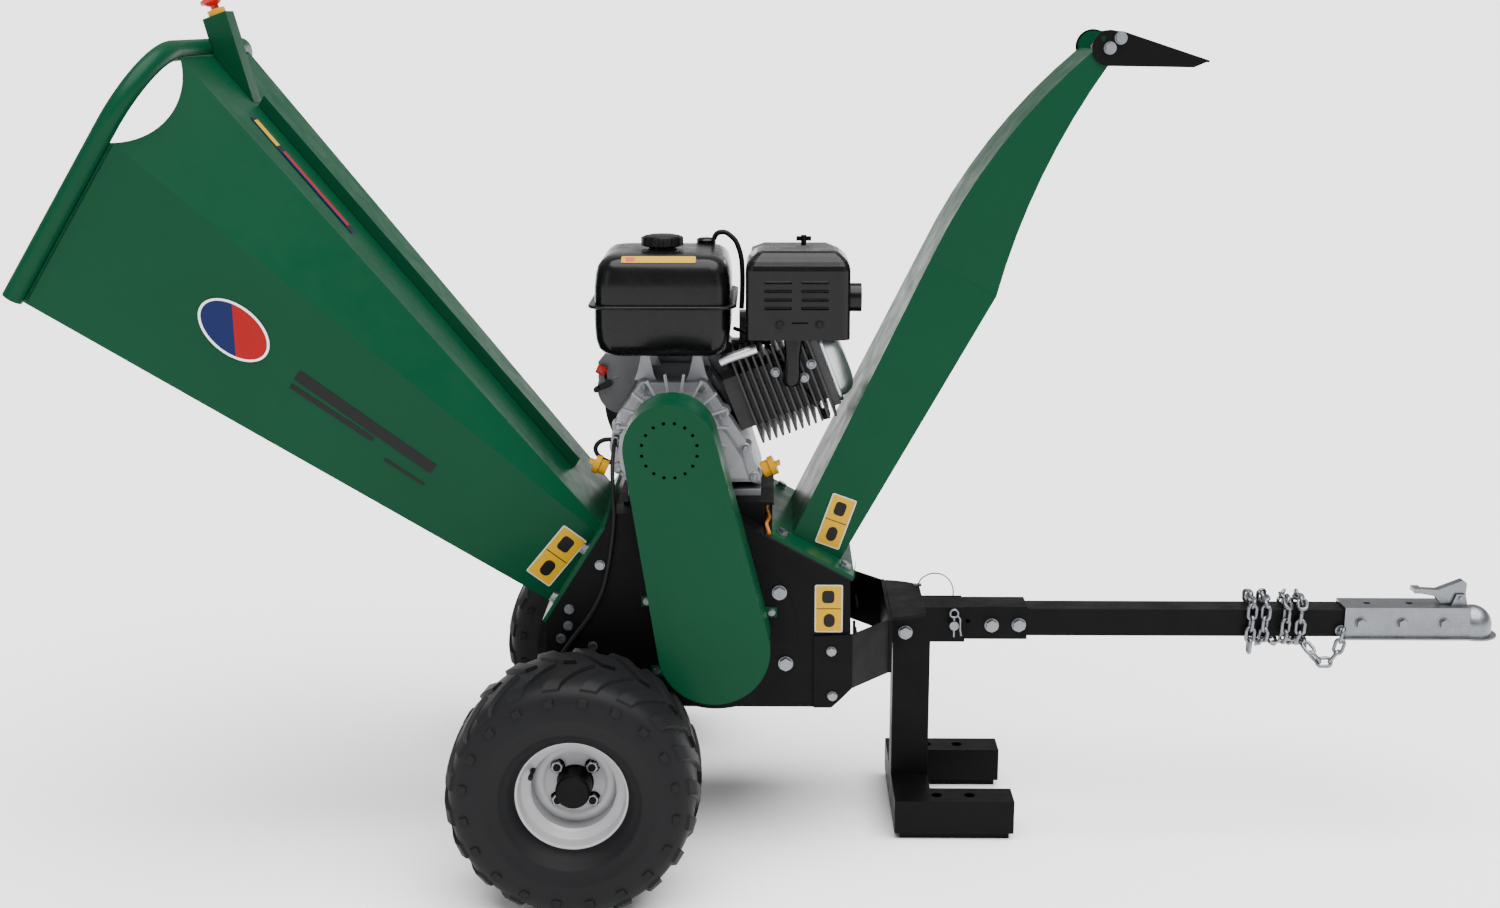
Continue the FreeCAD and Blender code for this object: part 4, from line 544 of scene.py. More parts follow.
def smooth_curve(name, places, resolution):
    curve = bpy.data.curves.new(name, "CURVE")
    curve.dimensions = "3D"
    spline = curve.splines.new("NURBS")
    spline.points.add(len(places) - 1)
    for knot, place in zip(spline.points, places):
        knot.co = (*at(*place), 1)
    spline.order_u, spline.use_endpoint_u, spline.resolution_u = 3, True, resolution
    return curve


def wire(name, points, radius, finish, resolution=6):
    """A smooth bent wire or tube through the given places, baked to a mesh."""
    curve = smooth_curve(name, points, resolution)
    curve.bevel_depth, curve.bevel_resolution, curve.use_fill_caps = radius / 1000, 3, True
    mesh = baked(bpy.data.objects.new(name, curve))
    for face in mesh.polygons:
        face.use_smooth = True
    show(name, mesh, finish)


def copies_round_axis():
    """Geometry nodes: the given piece is repeated round an axis through a centre."""
    tree = bpy.data.node_groups.new("copies_round_an_axis", "GeometryNodeTree")
    for name, kind in (("Piece", "Geometry"), ("Count", "Int"), ("Axis", "Vector"), ("Centre", "Vector"),
                       ("Finish", "Material")):
        tree.interface.new_socket(name, in_out="INPUT", socket_type="NodeSocket" + kind)
    tree.interface.new_socket("Copies", in_out="OUTPUT", socket_type="NodeSocketGeometry")
    nodes, links = tree.nodes, tree.links
    given = nodes.new("NodeGroupInput")
    points = nodes.new("GeometryNodePoints")
    points.label = "one point for each copy"
    number = nodes.new("GeometryNodeInputIndex")
    number.label = "number of this copy"
    step = nodes.new("ShaderNodeMath")
    step.label = "angle between copies"
    step.operation = "DIVIDE"
    step.inputs[0].default_value = 2 * math.pi
    angle = nodes.new("ShaderNodeMath")
    angle.label = "angle of this copy"
    angle.operation = "MULTIPLY"
    turn = nodes.new("FunctionNodeAxisAngleToRotation")
    turn.label = "turn about the axis"
    copies = nodes.new("GeometryNodeInstanceOnPoints")
    copies.label = "copies"
    shift = nodes.new("GeometryNodeTransform")
    shift.label = "move to the centre"
    real = nodes.new("GeometryNodeRealizeInstances")
    finish = nodes.new("GeometryNodeSetMaterial")
    out = nodes.new("NodeGroupOutput")
    for i, node in enumerate((given, points, number, step, angle, turn, copies, shift, real, finish, out)):
        node.location = (190 * i, -60 * (i % 3))
    links.new(given.outputs["Count"], points.inputs["Count"])
    links.new(given.outputs["Count"], step.inputs[1])
    links.new(step.outputs[0], angle.inputs[0])
    links.new(number.outputs[0], angle.inputs[1])
    links.new(angle.outputs[0], turn.inputs["Angle"])
    links.new(given.outputs["Axis"], turn.inputs["Axis"])
    links.new(points.outputs[0], copies.inputs["Points"])
    links.new(given.outputs["Piece"], copies.inputs["Instance"])
    links.new(turn.outputs[0], copies.inputs["Rotation"])
    links.new(copies.outputs[0], shift.inputs["Geometry"])
    links.new(given.outputs["Centre"], shift.inputs["Translation"])
    links.new(shift.outputs[0], real.inputs[0])
    links.new(real.outputs[0], finish.inputs["Geometry"])
    links.new(given.outputs["Finish"], finish.inputs["Material"])
    links.new(finish.outputs[0], out.inputs[0])
    return tree


def copies_on_path():
    """Geometry nodes: the given piece is repeated along a path at a pitch, every other one turned."""
    tree = bpy.data.node_groups.new("copies_on_a_path", "GeometryNodeTree")
    for name, kind in (("Path", "Geometry"), ("Piece", "Object"), ("Pitch", "Float"), ("Turn", "Float"),
                       ("Finish", "Material")):
        tree.interface.new_socket(name, in_out="INPUT", socket_type="NodeSocket" + kind)
    tree.interface.new_socket("Copies", in_out="OUTPUT", socket_type="NodeSocketGeometry")
    nodes, links = tree.nodes, tree.links
    given = nodes.new("NodeGroupInput")
    along = nodes.new("GeometryNodeCurveToPoints")
    along.label = "places at the pitch"
    along.mode = "LENGTH"
    number = nodes.new("GeometryNodeInputIndex")
    number.label = "number of this copy"
    angle = nodes.new("ShaderNodeMath")
    angle.label = "turn grows by a step each time"
    angle.operation = "MULTIPLY"
    twist = nodes.new("FunctionNodeAxisAngleToRotation")
    twist.label = "turn about the path"
    twist.inputs["Axis"].default_value = (0, 0, 1)
    aim = nodes.new("FunctionNodeRotateRotation")
    aim.label = "along the path, then turned"
    aim.rotation_space = "LOCAL"
    shape = nodes.new("GeometryNodeObjectInfo")
    shape.label = "the piece"
    copies = nodes.new("GeometryNodeInstanceOnPoints")
    copies.label = "copies"
    real = nodes.new("GeometryNodeRealizeInstances")
    finish = nodes.new("GeometryNodeSetMaterial")
    out = nodes.new("NodeGroupOutput")
    for i, node in enumerate((given, along, number, angle, twist, aim, shape, copies, real, finish, out)):
        node.location = (190 * i, -60 * (i % 3))
    links.new(given.outputs["Path"], along.inputs["Curve"])
    links.new(given.outputs["Pitch"], along.inputs["Length"])
    links.new(number.outputs[0], angle.inputs[0])
    links.new(given.outputs["Turn"], angle.inputs[1])
    links.new(angle.outputs[0], twist.inputs["Angle"])
    links.new(along.outputs["Rotation"], aim.inputs["Rotation"])
    links.new(twist.outputs[0], aim.inputs["Rotate By"])
    links.new(given.outputs["Piece"], shape.inputs["Object"])
    links.new(along.outputs["Points"], copies.inputs["Points"])
    links.new(shape.outputs["Geometry"], copies.inputs["Instance"])
    links.new(aim.outputs[0], copies.inputs["Rotation"])
    links.new(copies.outputs[0], real.inputs[0])
    links.new(real.outputs[0], finish.inputs["Geometry"])
    links.new(given.outputs["Finish"], finish.inputs["Material"])
    links.new(finish.outputs[0], out.inputs[0])
    return tree


ROUND_AXIS, ON_PATH = copies_round_axis(), copies_on_path()


def sockets(tree):
    return {item.name: item.identifier for item in tree.interface.items_tree if item.in_out == "INPUT"}


def ring_of(mesh, count, centre, axis, finish):
    """Copies of a mesh that is drawn about the world's zero, set round an axis."""
    source = bpy.data.objects.new(mesh.name + "_ring", mesh)
    repeat = source.modifiers.new("repeat", "NODES")
    repeat.node_group = ROUND_AXIS
    names = sockets(ROUND_AXIS)
    repeat[names["Count"]] = count
    repeat[names["Axis"]] = axis
    repeat[names["Centre"]] = centre
    repeat[names["Finish"]] = finish
    return baked(source)


def row_on(name, places, mesh, pitch, turn, finish):
    """Copies of a mesh set along a smooth path, their own +Z along it."""
    curve = smooth_curve(name, places, 12)
    link = bpy.data.objects.new(name + "_one", mesh)
    add_to_scene(link)
    source = bpy.data.objects.new(name, curve)
    repeat = source.modifiers.new("repeat", "NODES")
    repeat.node_group = ON_PATH
    names = sockets(ON_PATH)
    repeat[names["Piece"]] = link
    repeat[names["Pitch"]] = pitch / 1000
    repeat[names["Turn"]] = turn
    repeat[names["Finish"]] = finish
    result = baked(source)
    bpy.data.objects.remove(link)
    return result


def weld(name, runs, finish, size):
    """Weld beads: small overlapping scales along straight runs, given by their ends in millimetres."""
    scale = lathe("weld_scale", [(0.01, -size * 0.55), (size * 0.8, -size * 0.3), (size, 0.0),
                                 (size * 0.8, size * 0.3), (0.01, size * 0.55)], Vector((0, 0, 0)), 8, "Z", False)
    beads = [row_on(name, run, scale, size * 0.62, 0.0, finish) for run in runs]
    show(name, joined(beads, name))


# ---- wheels -------------------------------------------------------------------------------------
CROWN = [(90.5, 64.0), (96.0, 76.0), (104.0, 84.0), (112.0, 89.5), (113.5, 92.0), (117.0, 93.5), (121.0, 93.6),
         (134.0, 97.0), (138.0, 99.0), (143.0, 99.4), (150.0, 98.6), (164.0, 98.0), (176.0, 95.5), (186.0, 89.5),
         (192.0, 80.0), (195.2, 66.0), (196.8, 44.0), (197.6, 20.0), (197.8, 0.0)]
CAVITY = [(188.0, 0.0), (186.0, 50.0), (178.0, 76.0), (160.0, 88.0), (130.0, 85.0), (104.0, 68.0), (91.0, 52.0)]


def crown_radius(y):
    """Radius of the tread's ground at a distance from the wheel's middle."""
    outer = CROWN[::-1]
    for (r0, y0), (r1, y1) in zip(outer, outer[1:]):
        if y0 <= y <= y1 and r1 > 150:
            return r0 + (r1 - r0) * (y - y0) / (y1 - y0)
    return 170.0


def tread_bar(name, side, lead, height=6.6):
    """One slanting tread bar from near the middle over the shoulder."""
    points, faces = [], []
    steps = [4, 18, 34, 52, 68, 80, 89]
    for y in steps:
        ground, swing = crown_radius(y), lead + 0.30 * (y / 89.0) ** 0.8
        half = 0.058 + 0.022 * y / 89.0
        rise = height if y < 85 else height * 0.75
        for turn, radius in ((-half, ground - 3), (-half * 0.8, ground + rise), (half * 0.8, ground + rise),
                             (half, ground - 3)):
            angle = swing + turn
            points.append(Vector((radius * math.cos(angle), side * y, radius * math.sin(angle))) / 1000)
    for i in range(len(steps) - 1):
        for j in range(3):
            a = 4 * i + j
            faces.append((a, a + 1, a + 5, a + 4))
        faces.append((4 * i + 3, 4 * i, 4 * i + 4, 4 * i + 7))
    faces += [(0, 1, 2, 3), (len(points) - 4, len(points) - 3, len(points) - 2, len(points) - 1)]
    return mesh_of(name, points, faces, 30)


def shoulder_block(side, lead):
    """Small square block on the sidewall below the tread's edge."""
    rings = [soft_rectangle(Vector((radius / 1000, side * y / 1000, 0)), X_AXIS, Z_AXIS,
                            7.0 - lift, 8.0 - lift, 1.5, 2) for radius, y, lift in ((170, 94, 0), (170, 100.6, 1.2))]
    block = loft("shoulder_block", rings, 30)
    block.transform(Matrix.Rotation(-lead, 4, "Y"))
    return block


def build_tyre(name, side):
    centre = wheel_centre(side)
    profile = CROWN + [(r, -y) for r, y in CROWN[-2::-1]] + [(r, -y) for r, y in CAVITY[::-1]] + CAVITY[1:]
    carcass = painted(lathe("carcass", profile, centre, 144), TYRE)
    count, half_pitch = 20, math.pi / 20
    parts = [carcass]
    for hand, lead in ((1, 0.0), (-1, half_pitch)):
        parts.append(ring_of(tread_bar("tread_bar", hand, lead), count, centre, (0, 1, 0), TYRE))
        parts.append(ring_of(shoulder_block(hand, lead + 0.33), count, centre, (0, 1, 0), TYRE))
    stand_for(name, joined(parts, name))


def valve(name, side, body):
    centre = at(-64, side * (TRACK + 50), AXLE + 33)
    profile = [(0.01, -22), (4.2, -22), (4.2, -8), (3.0, -2), (3.0, 8), (3.9, 8.5), (3.9, 20), (2.8, 22), (0.01, 22)]
    mesh = lathe(name, [(r, side * y) for r, y in profile], centre, 16, "Y", False)
    show(name, mesh, RUBBER, body)


# ---- tow bar ------------------------------------------------------------------------------------
def chain_link(wide=21.5, long=32.0, thick=6.6):
    """One oval link of round wire, its length along +Z."""
    points, faces = [], []
    turns, ring = 20, 8
    bow, straight = (wide - thick) / 2, (long - wide) / 2
    for i in range(turns):
        angle = 2 * math.pi * i / turns
        side = Vector((math.cos(angle), 0, math.sin(angle)))
        middle = side * bow + Vector((0, 0, straight if math.sin(angle) >= 0 else -straight))
        for j in range(ring):
            around = 2 * math.pi * j / ring
            outward = side * math.cos(around) + Y_AXIS * math.sin(around)
            points.append((middle + outward * thick / 2) / 1000)
    for i in range(turns):
        for j in range(ring):
            k, m = (j + 1) % ring, (i + 1) % turns
            faces.append((i * ring + j, i * ring + k, m * ring + k, m * ring + j))
    return mesh_of("chain_link", points, faces, 80)


def build_chain():
    turns = []
    for i, x in enumerate((1163, 1187, 1224, 1250)):
        low, high, out = 322, 399, 36
        turns += [(x, -out, low), (x + 3, -out, high - 6), (x + 5, -out + 8, high), (x + 9, out - 8, high),
                  (x + 11, out, high - 6), (x + 14, out, low + 6), (x + 16, out - 8, low)]
    tail = [(1262, -20, 322), (1268, -38, 320), (1276, -40, 304), (1290, -40, 292), (1306, -40, 294), (1320, -39, 312),
            (1326, -38, 342)]
    mesh = row_on("safety_chain", turns + tail, chain_link(), 20.5, math.pi / 2, ZINC)
    stand_for("safety_chain", mesh)


def end_plug(name, x, y, z, half_y, half_z):
    """Ribbed plastic plug that closes the end of a square tube."""
    rings = []
    for step, draw in ((-6, 1.5), (0, 0.2), (1.6, 0.2), (3.0, 3.5)):
        rings.append(soft_rectangle(at(x + step, y, z), Y_AXIS, Z_AXIS,
                                    half_y - draw, half_z - draw, 6.0))
    show(name, loft(name, rings, 30), PLASTIC)


# ---- plates without lettering -------------------------------------------------------------------
def oval_badge(centre, across, up):
    """Plain oval badge in a bright rim, half dark blue and half red, with nothing written on it."""
    across, up = across.normalized(), up.normalized()
    out = across.cross(up)
    meshes = []
    for i, (half_u, half_v, first, last, finish) in enumerate((
            (64, 40, 0, 360, CHROME), (60, 36, 120, 300, BADGE_BLUE), (60, 36, -60, 120, BADGE_RED))):
        ring = [(half_u * math.cos(math.radians(first + (last - first) * k / 47)),
                 half_v * math.sin(math.radians(first + (last - first) * k / 47))) for k in range(48)]
        top = 1.6 + 0.7 * (i > 0)
        rings = [[centre + (across * u + up * v) / 1000 + out * z / 1000 for u, v in ring] for z in (-0.2, top)]
        meshes.append(painted(loft("badge", rings, 30), finish))
    show("badge", joined(meshes, "badge"))


FEED = math.radians(57.8)
FLANGE_X, FLANGE_Z = -65, 413.5                          # middle of the hopper's flange, low edge
ALONG = Vector((-math.sin(FEED), 0, math.cos(FEED)))     # along the hopper, outward
RISE = Vector((math.cos(FEED), 0, math.sin(FEED)))       # up the hopper's flange


def on_hopper_side(a, t):
    """A place on the near side panel, from its distance out and its height up the flange."""
    return at(FLANGE_X, -150 - 0.1771 * (a - 6) - 0.6, FLANGE_Z) + (ALONG * a + RISE * t) / 1000


def on_hopper_top(a, y):
    """A place on the top panel, from its distance out and across."""
    return at(FLANGE_X, y, FLANGE_Z) + (ALONG * a + RISE * (180 + 315 * (a - 6) / 960 + 0.6)) / 1000


# ---- engine -------------------------------------------------------------------------------------
SLANT = math.radians(21)
CRANK_X, CRANK_Z = 152.7, 735


def bore(s, up, y):
    """A place along the cylinder's axis from the crankshaft, square to it and across."""
    up -= 14
    return at(CRANK_X + s * math.cos(SLANT) - up * math.sin(SLANT), y,
              CRANK_Z + s * math.sin(SLANT) + up * math.cos(SLANT))


BORE_U, BORE_V = Y_AXIS, Vector((-math.sin(SLANT), 0, math.cos(SLANT)))


def build_tank():
    rings = [flat_ring(18 + d, 246 - d, -118 + d, 130 - d, z, max(30 - d * 0.3, 8), 7) for z, d in (
        (850, 34), (851, 24), (855, 14), (864, 6), (880, 1.5), (902, 0), (934, 0), (940, 0), (968, 0.5), (990, 3),
        (1004, 7), (1012, 13), (1017.5, 22), (1020, 34), (1021.5, 60))]
    seam = [flat_ring(18 - d, 246 + d, -118 - d, 130 + d, z, 32, 7) for z, d in (
        (935, 4), (934.2, 9), (935.5, 10.5), (938.5, 10.5), (939.8, 9), (939, 4))]
    neck = lathe("neck", [(17.5, -6), (25, -6), (25, 0), (23.5, 2.5), (17.5, 2.5)], at(127.5, 4, 1022), 40, "Z")
    breather = lathe("breather", [(0.01, -2), (17, -2), (17, 5), (14, 8), (6, 9), (0.01, 9)], at(200, 92, 1021), 32,
                     "Z", False)
    legs = [bracket_leg(x, y) for x in (100, 189) for y in (-62, 74)]
    parts = [painted(part, ENGINE_BLACK) for part in (loft("tank", rings, 50), loft("seam", seam, 50), neck, breather)]
    stand_for("fuel_tank", joined(parts + legs, "fuel_tank"))


def bracket_leg(x, y):
    """Cast bracket under the tank, wide at its foot."""
    outline = ((-19, 804), (19, 804), (14, 816), (8, 842), (6, 856), (0, 861), (-6, 856), (-8, 842), (-14, 816))
    rings = [[at(x + u, y + step, z) for u, z in outline] for step in (0, 6)]
    return painted(loft("bracket_leg", rings, 30), ALLOY)


def build_cap():
    centre = at(127.5, 4, 1025.4)
    profile = [(0.01, -10), (17, -10), (17, 0), (31, 0), (33.5, 1.5), (33.5, 14), (31, 17.5), (24, 19), (0.01, 19.5)]
    body = lathe("cap", profile, centre, 60, "Z", False)
    rings = [soft_rectangle(Vector((0.0335, 0, z / 1000)), X_AXIS, Y_AXIS, 2.6, 4.2, 1.5, 2)
             for z in (1.5, 15.5)]
    ribs = ring_of(loft("cap_rib", rings, 30), 14, centre, (0, 0, 1), PLASTIC)
    stand_for("fuel_cap", joined([painted(body, PLASTIC), ribs], "fuel_cap"))


LOUVERS = [(x, z) for x in (326, 387) for z in (938.5, 952.5, 967, 981.5)]


def build_muffler():
    """Heat guard with rows of pressed louvers, and the silencer's outlet."""
    x0, x1, y0, y1 = 272, 446, -136, -4
    rings = [flat_ring(x0 + d, x1 - d, y0 + d, y1 - d, z, 16 - d * 0.2, 6) for z, d in (
        (885, 0), (1000, 0), (1008, 1.5), (1015, 5), (1023, 13), (1028, 19), (1030.5, 27))]
    guard = bpy.data.objects.new("guard", loft("guard", rings, 50))
    shape = bmesh.new()
    shape.from_mesh(guard.data)
    open_end = [face for face in shape.faces if face.calc_center_median().z < 0.8851]
    bmesh.ops.delete(shape, geom=open_end, context="FACES")
    shape.to_mesh(guard.data)
    shape.free()
    sheet = guard.modifiers.new("sheet", "SOLIDIFY")
    sheet.thickness, sheet.offset = 0.002, -1
    slots = [loft("slot", [soft_rectangle(at(x, y, z), X_AXIS, Z_AXIS, 23, 2.6, 2.5, 4) for y in (-150, -120)])
             for x, z in LOUVERS]
    slots.append(loft("low_slot", [soft_rectangle(at(362, y, 914), X_AXIS, Z_AXIS, 14, 1.4, 1.3, 3)
                                   for y in (-150, -120)]))
    slots.append(lathe("way_out", [(0.01, -40), (26, -40), (26, 20), (0.01, 20)], at(446, -70, 948), 36, "X", False))
    cutter = bpy.data.objects.new("cutter", joined(slots, "cutter"))
    add_to_scene(cutter)
    cut = guard.modifiers.new("cut", "BOOLEAN")
    cut.object, cut.operation, cut.solver = cutter, "DIFFERENCE", "EXACT"
    shell = baked(guard)
    bpy.data.objects.remove(cutter)
    for polygon in shell.polygons:
        polygon.use_smooth = False
    lips = [loft("lip", [[at(x + u * k, -136 - depth, z + 2.6 + w) for u in (-23, -12, 0, 12, 23)] +
                         [at(x + u * k, -136 - depth, z + 3.4 + w) for u in (23, 12, 0, -12, -23)]
                         for depth, w, k in ((-0.5, 0, 1), (2.6, -2.2, 0.94))]) for x, z in LOUVERS]
    can = [flat_ring(286, 428, -112, -24, z, 20, 6) for z in (896, 899, 1006, 1010)]
    pipe = lathe("outlet", [(19, -30), (19, 19), (21, 20.5), (24, 20.5), (24, -30)], at(446, -70, 948), 40, "X")
    stem = lathe("stem", [(10, -2), (14, -2), (14, 12), (10, 12)], at(372, -68, 886), 24, "Z")
    screws = [screw_head(x, -136.2, 911, 8.0, PLASTIC) for x in (328.6, 394.8)]
    parts = [painted(part, ENGINE_BLACK) for part in [shell] + lips]
    parts += [painted(loft("can", can), IRON), painted(pipe, ENGINE_BLACK), painted(stem, IRON)] + screws
    stand_for("muffler", joined(parts, "muffler"))


def screw_head(x, y, z, radius, finish=None):
    """Flanged hexagon screw on a face that looks toward -Y."""
    flange = lathe("flange", [(0.01, 0), (radius, 0), (radius, -1.2), (radius * 0.8, -1.8), (0.01, -1.8)],
                   at(x, y, z), 20, "Y", False)
    rings = []
    for depth, share in ((-1.5, 0.72), (-radius * 0.75, 0.72), (-radius * 0.85, 0.62)):
        rings.append([at(x + radius * share * math.cos(math.radians(60 * i)), y + depth,
                         z + radius * share * math.sin(math.radians(60 * i))) for i in range(6)])
    return painted(joined([flange, loft("hex", rings, 20)], "screw"), finish or ZINC)


def build_valve_cover():
    rings = []
    for s, half_v, radius in ((274, 59, 14), (277, 60, 14), (280, 59, 14), (281, 54, 18), (290, 53, 20), (299, 49, 22),
                              (304, 43, 24), (307, 34, 22), (307.8, 20, 16)):
        rings.append(soft_rectangle(bore(s, 0, 2), BORE_U, BORE_V, half_v - 2, half_v, radius, 8))
    stand_for("valve_cover", joined([painted(loft("cover", rings, 50), CHROME)], "valve_cover"))


LINES = [
    ("governor_rod", [(62, 76, 748), (96, 78, 822), (150, 80, 836), (214, 82, 838)], 1.6, ZINC),
    ("throttle_return", [(30, 60, 776), (60, 74, 800), (96, 80, 830), (190, 84, 842)], 1.4, ZINC),
    ("drain_hose", [(58, -70, 700), (34, -74, 704), (18, -78, 698), (12, -78, 684), (24, -78, 668), (44, -74, 660)],
     4.0, RUBBER),
    ("spark_lead", [(250, 20, 880), (300, -20, 872), (352, -60, 812), (392, -66, 760), (408, -58, 744)], 3.4, RUBBER),
    ("switch_lead", [(20, 62, 792), (22, 70, 770), (40, 74, 740), (60, 78, 720)], 2.6, RUBBER)]


def engine_details():
    """Bosses, ribs, screws, pipes, rods, leads and a plug cap on the side that is seen."""
    parts, ribs = [], []
    boss = [(0.01, 0), (12, 0), (10, -28), (9, -29), (0.01, -29)]
    for x, z in ((98, 796), (198, 796), (234, 752), (272, 690), (288, 640), (54, 727), (49, 692), (54, 655)):
        parts.append(painted(lathe("boss", boss, at(x, -62, z), 24, "Y", False), ALLOY))
        parts.append(screw_head(x, -91, z, 7.5))
    for i in range(14):
        turn = math.radians(-40 + 20 * i)
        u = Vector((math.cos(turn), 0, math.sin(turn)))
        ribs.append(loft("rib", [soft_rectangle(at(CRANK_X, -126, CRANK_Z) + u * r / 1000, Y_AXIS, u.cross(Y_AXIS),
                                                10 - r * 0.05, 2.4, 1, 2) for r in (36, 92)]))
    parts += [painted(rib, ALLOY) for rib in ribs]
    show("crankcase_details", joined(parts, "crankcase_details"))
    wire("cooling_air_pipe", [(228, -78, 838), (246, -78, 846), (262, -78, 851), (290, -78, 861)], 8.5, CHROME)
    head = [screw_head(x, -73, z, 8.5) for x, z in ((322, 820), (371, 811), (383, 834))]
    show("head_screws", joined(head, "head_screws"))
    rings = [soft_rectangle(at(x, y, z), X_AXIS, Y_AXIS, half, 13, 9, 5)
             for x, y, z, half in ((352, -78, 893, 20), (352, -80, 872, 15), (351, -82, 846, 13), (350, -82, 818, 15),
                                   (349, -81, 806, 15), (348, -79, 799, 11), (348, -78, 797, 6))]
    show("exhaust_elbow", loft("exhaust_elbow", rings, 60), ENGINE_BLACK)
    cap = [(0.01, 0), (9, 0), (9, 10), (7, 26), (5, 30), (0.01, 30)]
    plug = lathe("spark_plug_cap", cap, at(408, -50, 742), 20, "Y", False)
    show("spark_plug_cap", plug, RUBBER)
    for name, places, radius, finish in LINES:
        wire(name, places, radius, finish)


# ---- folded and ground edges, welds and small hardware ------------------------------------------
EDGE_ROUND = {"stand_leg": 2.0, "hitch_head": 1.0, "drawbar_arms": 0.8, "drawbar_sleeve": 2.0, "drawbar_tube": 2.5,
              "belt_guard": 0.9, "hopper_shell": 0.5, "chute_shell": 0.5, "deflector": 0.5, "coupler_body": 0.6,
              "coupler_latch": 0.5, "housing_bolts": 0.5, "deflector_studs": 0.5, "stop_post": 0.8,
              "cable_duct": 0.6, "crankcase_cover": 1.6, "crankcase": 2.0, "hub_near": 1.0, "hub_far": 1.0,
              "air_cleaner": 3.0, "recoil_cover": 1.0, "control_plate": 1.0, "side_plate_near": 0.6,
              "side_plate_far": 0.6, "engine_deck": 0.8, "cylinder": 0.5, "oil_caps": 1.0, "recoil_grip": 1.0,
              "stop_collar": 0.8, "hitch_pin": 1.0, "axle_beam": 1.5}


def label_on(name, corners, finishes, bands=(), lift=0.5):
    """A thin plate on four corners: top left, top right, bottom right and bottom left."""
    tl, tr, br, bl = corners
    across, up = (tr - tl + br - bl) / 2, (tl - bl + tr - br) / 2
    width, height = across.length * 1000, up.length * 1000
    across.normalize()
    up = (up - across * up.dot(across)).normalized()
    out = across.cross(up)
    centre = (tl + tr + br + bl) / 4 + out * lift / 1000
    layers = [(0, 0, width / 2, height / 2, 3.0, finishes[0]),
              (0, 0, width / 2 - 2.0, height / 2 - 2.0, 2.0, finishes[1])]
    layers += [(u * width, v * height, half_u * width, half_v * height, radius, finish)
               for u, v, half_u, half_v, radius, finish in bands]
    meshes = []
    for i, (u, v, half_u, half_v, radius, finish) in enumerate(layers):
        middle = centre + (across * u + up * v) / 1000
        rings = [soft_rectangle(middle + out * step / 1000, across, up, half_u, half_v, radius, 4)
                 for step in (-0.4, 0.15 + 0.2 * i)]
        meshes.append(painted(loft("layer", rings, 30), finish))
    show(name, joined(meshes, name))


def plain_labels():
    """Coloured plates where the machine carries its notices, with plain shapes and nothing to read."""
    yellow = (LABEL_WHITE, LABEL_YELLOW)
    sign = [(0, 0, 0.44, 0.008, 0.3, LABEL_BLACK), (-0.02, 0.25, 0.22, 0.13, 6.0, LABEL_BLACK),
            (0.02, -0.25, 0.20, 0.14, 9.0, LABEL_BLACK)]
    corners = [on_hopper_side(*place) for place in ((61, 152.5), (12, 146), (22.5, 43), (70.5, 49.5))]
    label_on("label_hopper", corners, yellow, sign)
    corners = [at(389, -197.2, 481), at(436, -197.2, 481), at(436, -197.2, 398), at(389, -197.2, 398)]
    label_on("label_body", corners, yellow, sign)
    corners = [at(425, -124.2, 619.5), at(466, -123.2, 605.5), at(426, -129.2, 524), at(385, -130.2, 540)]
    label_on("label_chute", corners, yellow, sign, 1.0)
    corners = [at(66, -93, 1018.6), at(188, -93, 1018.6), at(190, -107, 1009.4), at(64, -107, 1009.4)]
    label_on("label_tank", corners, (LABEL_YELLOW, LABEL_YELLOW), [(-0.38, 0, 0.06, 0.32, 2.5, RED)], 1.2)
    corners = [on_hopper_top(844, -121), on_hopper_top(844, -92), on_hopper_top(610, -82), on_hopper_top(610, -108)]
    strip = [(0, 0.36, 0.40, 0.11, 1.5, LABEL_YELLOW), (0.10, -0.12, 0.28, 0.32, 1.5, BADGE_RED),
             (-0.30, -0.12, 0.10, 0.32, 1.5, BADGE_BLUE)]
    label_on("label_hopper_top", corners, (BADGE_BLUE, LABEL_BLACK), strip)
    left, right = on_hopper_side(743, 192), on_hopper_side(604, 162)
    centre = on_hopper_side(673.7, 177.6)
    across = right - left
    up = on_hopper_side(673.7, 240) - centre
    up = up - across * (up.dot(across) / across.length_squared)
    oval_badge(centre, across, up)


STRIPES = [((556, 162), (292, 130), 9.0), ((556, 141), (400, 126), 4.0), ((369, 106), (292, 99), 2.5)]


def stripes():
    """Plain dark stripes on the hopper's near side, from their ends and half their width."""
    meshes = []
    for start, end, half in STRIPES:
        a, b = on_hopper_side(*start), on_hopper_side(*end)
        across = b - a
        reach = across.length * 500
        across.normalize()
        up = on_hopper_side(start[0], start[1] + 50) - a
        up = (up - across * up.dot(across)).normalized()
        out = across.cross(up)
        rings = [soft_rectangle((a + b) / 2 + out * step, across, up, reach, half, 2.0, 3)
                 for step in (-0.0002, 0.0003)]
        meshes.append(painted(loft("stripe", rings, 30), LABEL_BLACK))
    show("hopper_stripes", joined(meshes, "hopper_stripes"))


def welds():
    """Weld beads where sheet and tube meet."""
    green = [[feed_point(964, t, y) for t in (60, 200, 345)] for y in (-320, 320)]
    green.append([feed_point(964, 493, y) for y in (-188, 0, 188)])
    weld("hopper_welds", green, GREEN, 3.0)
    black = [[(459, -122, z) for z in (302, 350, 393)], [(459, 122, z) for z in (302, 350, 393)],
             [(468, y, 331) for y in (-30, 0, 30)], [(468, y, 391) for y in (-30, 0, 30)],
             [(577, y, 330) for y in (-29, 0, 29)], [(638, y, 330) for y in (-29, 0, 29)]]
    weld("tow_bar_welds", black, BLACK, 2.6)


